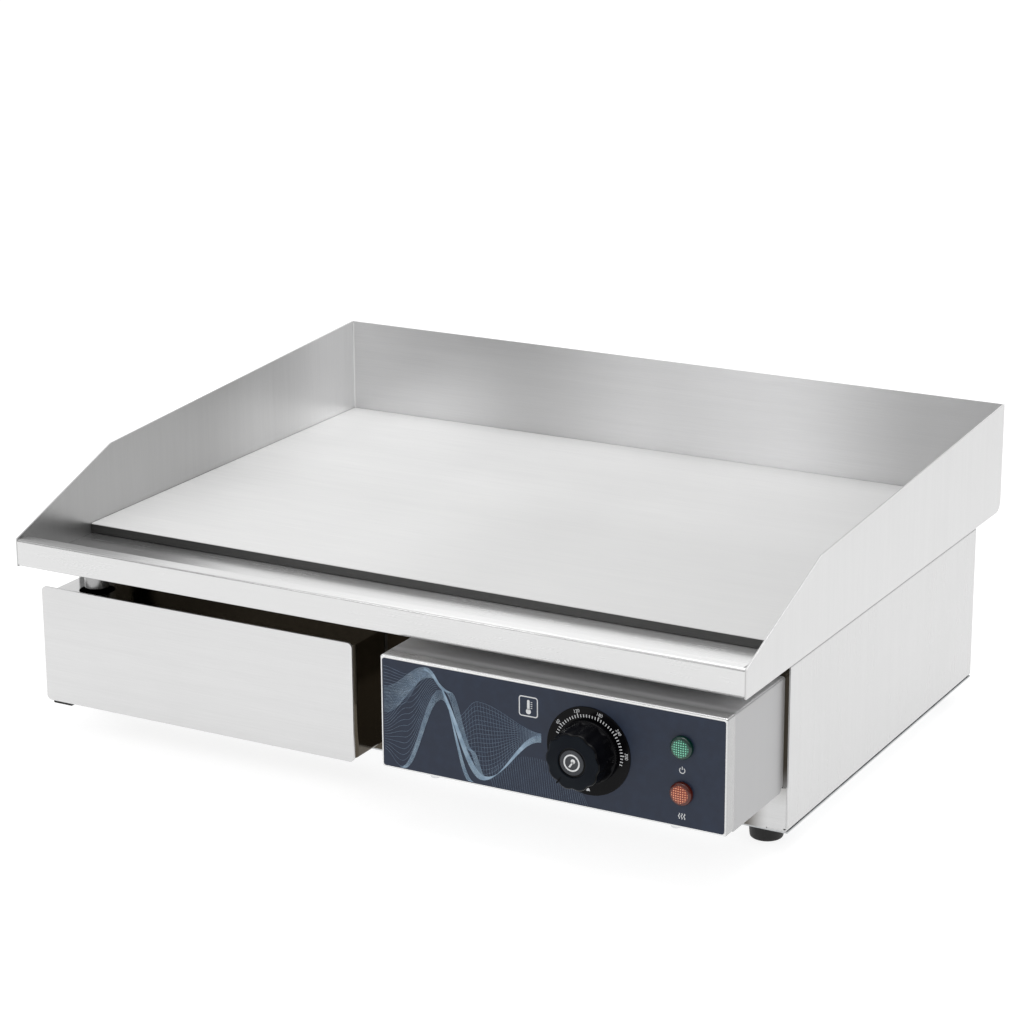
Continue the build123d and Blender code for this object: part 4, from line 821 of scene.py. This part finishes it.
figure_height = 0.0030
figure_radius = 0.0264
for figure in range(5):
    temperature = 60 * (figure + 1)
    degrees = scale_start + (scale_end - scale_start) * (3 + 7 * figure) / (tick_count - 1)
    lettering = bpy.data.curves.new(f"dial_figure_{temperature}", "FONT")
    lettering.body = str(temperature)
    lettering.size = figure_height
    lettering.align_x = "CENTER"
    lettering.align_y = "CENTER"
    lettering.extrude = ink_rise / 2
    lettering.resolution_u = 3
    draft = bpy.data.objects.new(f"draft_{temperature}", lettering)
    bpy.context.scene.collection.objects.link(draft)
    bpy.context.view_layer.update()
    spot = dial_spot(figure_radius, degrees)
    upright = Matrix.Rotation(math.radians(90), 4, "X")
    turned = Matrix.Rotation(math.radians(90 - degrees), 4, "Y")
    mesh = bpy.data.meshes.new_from_object(draft)
    seat = Matrix.Translation((spot[0], dial_face - ink_rise / 2, spot[1]))
    mesh.transform(seat @ turned @ upright)
    bpy.data.objects.remove(draft)
    mesh.materials.clear()
    mesh.materials.append(white_ink)
    numeral = bpy.data.objects.new(f"dial_figure_{temperature}", mesh)
    bpy.context.scene.collection.objects.link(numeral)
    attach(numeral, "griddle")

# ================================ heat knob ==================================
# A glossy black moulding with a skirt, ten soft flutes and a satin face. A grey
# trim disc with a white ring sits in its recess, and a groove points at the scale.
satin_black = moulded("satin_black", (0.004, 0.006, 0.010), (0.006, 0.009, 0.013), 0.36, 0.46,
                      peel=1400.0, relief=0.12, specular=0.08)
knob_low, knob_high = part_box("knob")
knob_back = knob_high.y
knob_front = knob_low.y
skirt_radius = (knob_high.x - knob_low.x) / 2
skirt_thickness = 0.003
flute_count = 10
flute_depth = 0.0011
knob_segments = 200
grip_base_radius = 0.0200
grip_top_radius = 0.0189
rim_radius = 0.0019
recess_radius = 0.0095
recess_depth = 0.0010
knob_cavity_radius = 0.0119
knob_cavity_depth = 0.0041


def quarter_round(depth, radius, size, steps, inwards=1):
    """(depth, radius) pairs round a convex edge, from the side on to the face."""
    return [(depth + size * math.sin(math.pi / 2 * step / steps),
             radius - size * inwards * (1 - math.cos(math.pi / 2 * step / steps)))
            for step in range(steps + 1)]


knob_depth = knob_back - knob_front
face_rise = 0.0006
knob_profile = (
    [(knob_cavity_depth, 0.0, 0.0), (knob_cavity_depth, knob_cavity_radius, 0.0),
     (0.0, knob_cavity_radius, 0.0), (0.0, skirt_radius - 0.0003, 0.0), (0.0003, skirt_radius, 0.0)]
    + [(d, r, 0.0) for d, r in quarter_round(skirt_thickness - 0.0008, skirt_radius, 0.0008, 4)]
    + [(skirt_thickness, grip_base_radius + 0.0001, 0.0),
       (skirt_thickness + 0.0006, grip_base_radius, 0.5),
       (skirt_thickness + 0.002, grip_base_radius, 1.0)]
    + [(d, r, 1.0) for d, r in quarter_round(knob_depth - face_rise - rim_radius, grip_top_radius,
                                             rim_radius, 8)]
    + [(knob_depth - face_rise / 2, 0.014, 0.25),
       (knob_depth - 0.0001, recess_radius + 0.0010, 0.0),
       (knob_depth, recess_radius + 0.0006, 0.0),
       (knob_depth - 0.0002, recess_radius + 0.0001, 0.0),
       (knob_depth - recess_depth, recess_radius - 0.0001, 0.0),
       (knob_depth - recess_depth, 0.0, 0.0)]
)


def join_rows(bm, rows, segments):
    """The faces between rings of points; a ring of one point closes an end."""
    faces = []
    for first, second in zip(rows, rows[1:]):
        for segment in range(segments):
            after = (segment + 1) % segments
            corners = [first[segment % len(first)], first[after % len(first)],
                       second[after % len(second)], second[segment % len(second)]]
            faces.append(bm.faces.new(list(dict.fromkeys(corners))))
    return faces


def build_knob(bm):
    rows = []
    for depth, radius, fluted in knob_profile:
        y = knob_back - depth
        if radius == 0.0:
            rows.append([bm.verts.new((dial_x, y, dial_z))])
            continue
        row = []
        for segment in range(knob_segments):
            angle = 2 * math.pi * segment / knob_segments
            dip = ((1 - math.cos(flute_count * angle)) / 2) ** 1.6
            reach = radius - flute_depth * fluted * dip
            row.append(bm.verts.new((dial_x + reach * math.cos(angle), y,
                                     dial_z + reach * math.sin(angle))))
        rows.append(row)
    for face in join_rows(bm, rows, knob_segments):
        on_face = face.calc_center_median().y < knob_front + face_rise + 0.0004
        face.material_index = 1 if on_face else 0


knob = mesh_piece("knob_moulding", build_knob, gloss_black, smooth_angle=38)
knob.data.materials.append(satin_black)
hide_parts("knob")
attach(knob, "heat_knob")

pointer_angle = -125.0
pointer_inner = 0.0128
pointer_outer = 0.0183
pointer_width = 0.0009


def build_pointer(bm):
    inner = dial_spot(pointer_inner, pointer_angle)
    outer = dial_spot(pointer_outer, pointer_angle)
    across = Vector((inner[1] - outer[1], outer[0] - inner[0])).normalized() * pointer_width / 2
    add_patch(bm, [(inner[0] + across.x * 0.3, inner[1] + across.y * 0.3),
                   (inner[0] - across.x * 0.3, inner[1] - across.y * 0.3),
                   (outer[0] - across.x, outer[1] - across.y),
                   (outer[0] + across.x, outer[1] + across.y)], knob_front + 0.0012, 0.0011)


pointer_ink = moulded("pointer_black", (0.001, 0.001, 0.001), (0.002, 0.002, 0.002), 0.6, 0.7,
                      specular=0.1)
pointer = mesh_piece("knob_pointer", build_pointer, pointer_ink)
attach(pointer, "heat_knob")

trim_grey = moulded("trim_grey", (0.035, 0.038, 0.045), (0.05, 0.054, 0.062), 0.3, 0.38,
                    peel=1800.0, relief=0.1, specular=0.3)
paint_nodes(trim_grey, "knob_cap")
cap_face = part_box("knob_cap")[0].y
ring_outer = 0.0056
ring_inner = 0.0046
ring_segments = 48


def build_cap_ring(bm):
    last_angle = 360 - 360 / ring_segments
    loops = []
    for radius, y in ((ring_inner, cap_face), (ring_inner, cap_face - ink_rise),
                      (ring_outer, cap_face - ink_rise), (ring_outer, cap_face)):
        circle = ring_points(dial_x, dial_z, radius, 0, last_angle, ring_segments - 1)
        loops.append([bm.verts.new((x, y, z)) for x, z in circle])
    join_rows(bm, loops + loops[:1], ring_segments)
    add_patch(bm, ring_points(dial_x + 0.0009, dial_z + 0.0012, 0.0015, 0, 345, 23),
              cap_face, ink_rise)
    add_patch(bm, [(dial_x + 0.0004, dial_z + 0.0010), (dial_x - 0.0022, dial_z - 0.0028),
                   (dial_x - 0.0012, dial_z - 0.0032), (dial_x + 0.0014, dial_z + 0.0004)],
              cap_face, ink_rise)


cap_ring = mesh_piece("knob_cap_ring", build_cap_ring, white_ink)
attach(cap_ring, "heat_knob")

# ================================ lamps ======================================
# Two signal lamps with low domed acrylic lenses. The middle of each lens is
# moulded with a square grid of small pyramids that scatter the light, each with
# a painted glint.
lens_rings = 30
lens_segments = 96
pyramid_pitch = 0.00155
pyramid_height = 0.00022
prism_radius = 0.0058


def lens_build(lamp):
    """A builder for the lens of one lamp."""
    low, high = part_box(lamp)
    middle_x, middle_z = (low.x + high.x) / 2, (low.z + high.z) / 2
    radius = (high.x - low.x) / 2
    rise = high.y - low.y

    def build(bm):
        rows = [[bm.verts.new((middle_x, high.y, middle_z))]]
        profile = [(0.0, radius), (0.45 * rise, radius), (0.62 * rise, 0.97 * radius),
                   (0.75 * rise, 0.90 * radius)]
        profile += [(rise * (0.80 + 0.14 * math.cos(math.pi / 2 * share)), 0.86 * radius * share)
                    for share in (1 - step / lens_rings for step in range(lens_rings))]
        for depth, reach in profile:
            row = []
            for segment in range(lens_segments):
                angle = 2 * math.pi * segment / lens_segments
                x, z = reach * math.cos(angle), reach * math.sin(angle)
                peak = 0.0
                if reach < prism_radius:
                    peak = pyramid_height * (
                        abs(math.sin(math.pi * x / pyramid_pitch))
                        * abs(math.sin(math.pi * z / pyramid_pitch)))
                row.append(bm.verts.new((middle_x + x, high.y - depth - peak, middle_z + z)))
            rows.append(row)
        rows.append([bm.verts.new((middle_x, high.y - 0.94 * rise, middle_z))])
        join_rows(bm, rows, lens_segments)

    return build


def build_prism_grid():
    """A square grid of soft spots round a middle point, and the distance from it."""
    group, given, result = start_group(
        "prism_grid",
        [("Middle", "NodeSocketVector", (0.0, 0.0, 0.0)), ("Lines", "NodeSocketFloat", 2732.0)],
        [("Spots", "NodeSocketFloat"), ("Reach", "NodeSocketFloat")])
    place = group.nodes.new("ShaderNodeTexCoord").outputs["Object"]
    offset = add_node(group, "ShaderNodeVectorMath", operation="SUBTRACT")
    group.links.new(place, offset.inputs[0])
    group.links.new(given.outputs["Middle"], offset.inputs[1])
    parts = add_node(group, "ShaderNodeSeparateXYZ")
    group.links.new(offset.outputs[0], parts.inputs[0])
    waves = []
    for axis in ("X", "Z"):
        turns = math_step(group, "MULTIPLY", parts.outputs[axis], given.outputs["Lines"])
        waves.append(math_step(group, "ABSOLUTE", math_step(group, "SINE", turns)))
    group.links.new(math_step(group, "MULTIPLY", *waves), result.inputs["Spots"])
    square = math_step(group, "MULTIPLY", parts.outputs["X"], parts.outputs["X"])
    square = math_step(group, "MULTIPLY_ADD", parts.outputs["Z"], parts.outputs["Z"], square)
    group.links.new(math_step(group, "SQRT", square), result.inputs["Reach"])
    return group


prism_grid = build_prism_grid()
# For each lamp: a rim colour, a body colour and a painted glint colour for each pyramid of the
# grid.
lamp_colours = {
    "power": ((0.0, 0.026, 0.017), (0.0, 0.085, 0.050), (0.28, 0.84, 0.58), "green_lens"),
    "heat": ((0.08, 0.008, 0.002), (0.22, 0.020, 0.005), (1.0, 0.42, 0.22), "red_lens"),
}
for lamp, (rim, body, spot, slot_name) in lamp_colours.items():
    node = f"{lamp}_lamp_lens"
    low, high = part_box(node)
    acrylic, tree, shader = new_material(f"{lamp}_acrylic")
    grid = add_node(tree, "ShaderNodeGroup", node_tree=prism_grid)
    grid.inputs["Middle"].default_value = (low + high) / 2
    grid.inputs["Lines"].default_value = math.pi / pyramid_pitch
    inside = ramp(tree, grid.outputs["Reach"], prism_radius - 0.0006, prism_radius, 1.0, 0.0)
    painted_glints = ramp(tree, grid.outputs["Spots"], 0.45, 0.9, 0.0, 1.0)
    painted_glints = math_step(tree, "MULTIPLY", painted_glints, inside)
    ground = blend_colours(tree, inside, rim, body)
    tree.links.new(blend_colours(tree, painted_glints, ground, spot), shader.inputs["Base Color"])
    tree.links.new(ramp(tree, painted_glints, 0.0, 1.0, 0.18, 0.3), shader.inputs["Roughness"])
    shader.inputs["Coat Weight"].default_value = 0.15
    shader.inputs["Coat Roughness"].default_value = 0.06
    lens = mesh_piece(f"{lamp}_lens_dome", lens_build(node), acrylic, smooth_angle=50)
    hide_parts(node)
    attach(lens, "griddle")

lamp_nylon = moulded("lamp_nylon", (0.78, 0.78, 0.75), (0.70, 0.70, 0.66), 0.45, 0.55)
black_nylon = moulded("black_nylon", (0.012, 0.012, 0.013), (0.025, 0.025, 0.026), 0.38, 0.5,
                      peel=1100.0, relief=0.2, specular=0.4)
paint_nodes(lamp_nylon, "lamp_bodies")
paint_nodes(black_nylon, "lamp_rings", "cable_gland", "gland_nut")

# ================================ heater and wiring ==========================
# Tubular elements with heat-tinted sheaths under the plate, a mineral board on
# the shield, the thermostat's copper bulb and capillary, and the sleeved wires.
sheath, sheath_tree, sheath_shader = new_material("annealed_sheath")
sheath_grain = add_node(sheath_tree, "ShaderNodeGroup", node_tree=belt_grain)
sheath_grain.inputs["Fine Lines"].default_value = (500.0, 500.0, 500.0)
sheath_tint = ramp(sheath_tree, sheath_grain.outputs["Cloud"], 0.35, 0.65, 0.0, 1.0)
sheath_tone = blend_colours(sheath_tree, sheath_tint, (0.12, 0.11, 0.10), (0.24, 0.20, 0.17))
sheath_tree.links.new(sheath_tone, sheath_shader.inputs["Base Color"])
sheath_tree.links.new(ramp(sheath_tree, sheath_grain.outputs["Grain"], 0.3, 0.7, 0.4, 0.6),
                      sheath_shader.inputs["Roughness"])
sheath_shader.inputs["Metallic"].default_value = 0.9
add_relief(sheath_tree, sheath_shader, sheath_grain.outputs["Grain"], 0.1, 0.00004)
paint_nodes(sheath, "heating_element_left", "heating_element_right")

copper = brushed_steel("drawn_copper", "y", (0.62, 0.30, 0.18), (0.74, 0.40, 0.27), 0.25, 0.4)
brass = brushed_steel("turned_brass", "z", (0.66, 0.48, 0.20), (0.78, 0.60, 0.30), 0.2, 0.32)
board = moulded("mineral_board", (0.80, 0.78, 0.70), (0.70, 0.67, 0.58), 0.85, 0.95,
                peel=350.0, relief=0.8, specular=0.1)
ceramic = moulded("glazed_ceramic", (0.82, 0.80, 0.73), (0.76, 0.73, 0.66), 0.14, 0.24, relief=0.04)
sleeve = moulded("wire_sleeve", (0.012, 0.012, 0.012), (0.03, 0.03, 0.03), 0.6, 0.75,
                 peel=1600.0, relief=0.9, specular=0.3)
paint_nodes(copper, "sensing_bulb", "capillary_tube")
paint_nodes(brass, "earth_stud")
paint_nodes(board, "insulation_board")
paint_nodes(ceramic, "terminal_block", "thermostat_body")
paint_nodes(sleeve, "wiring_harness")

bpy.context.view_layer.update()
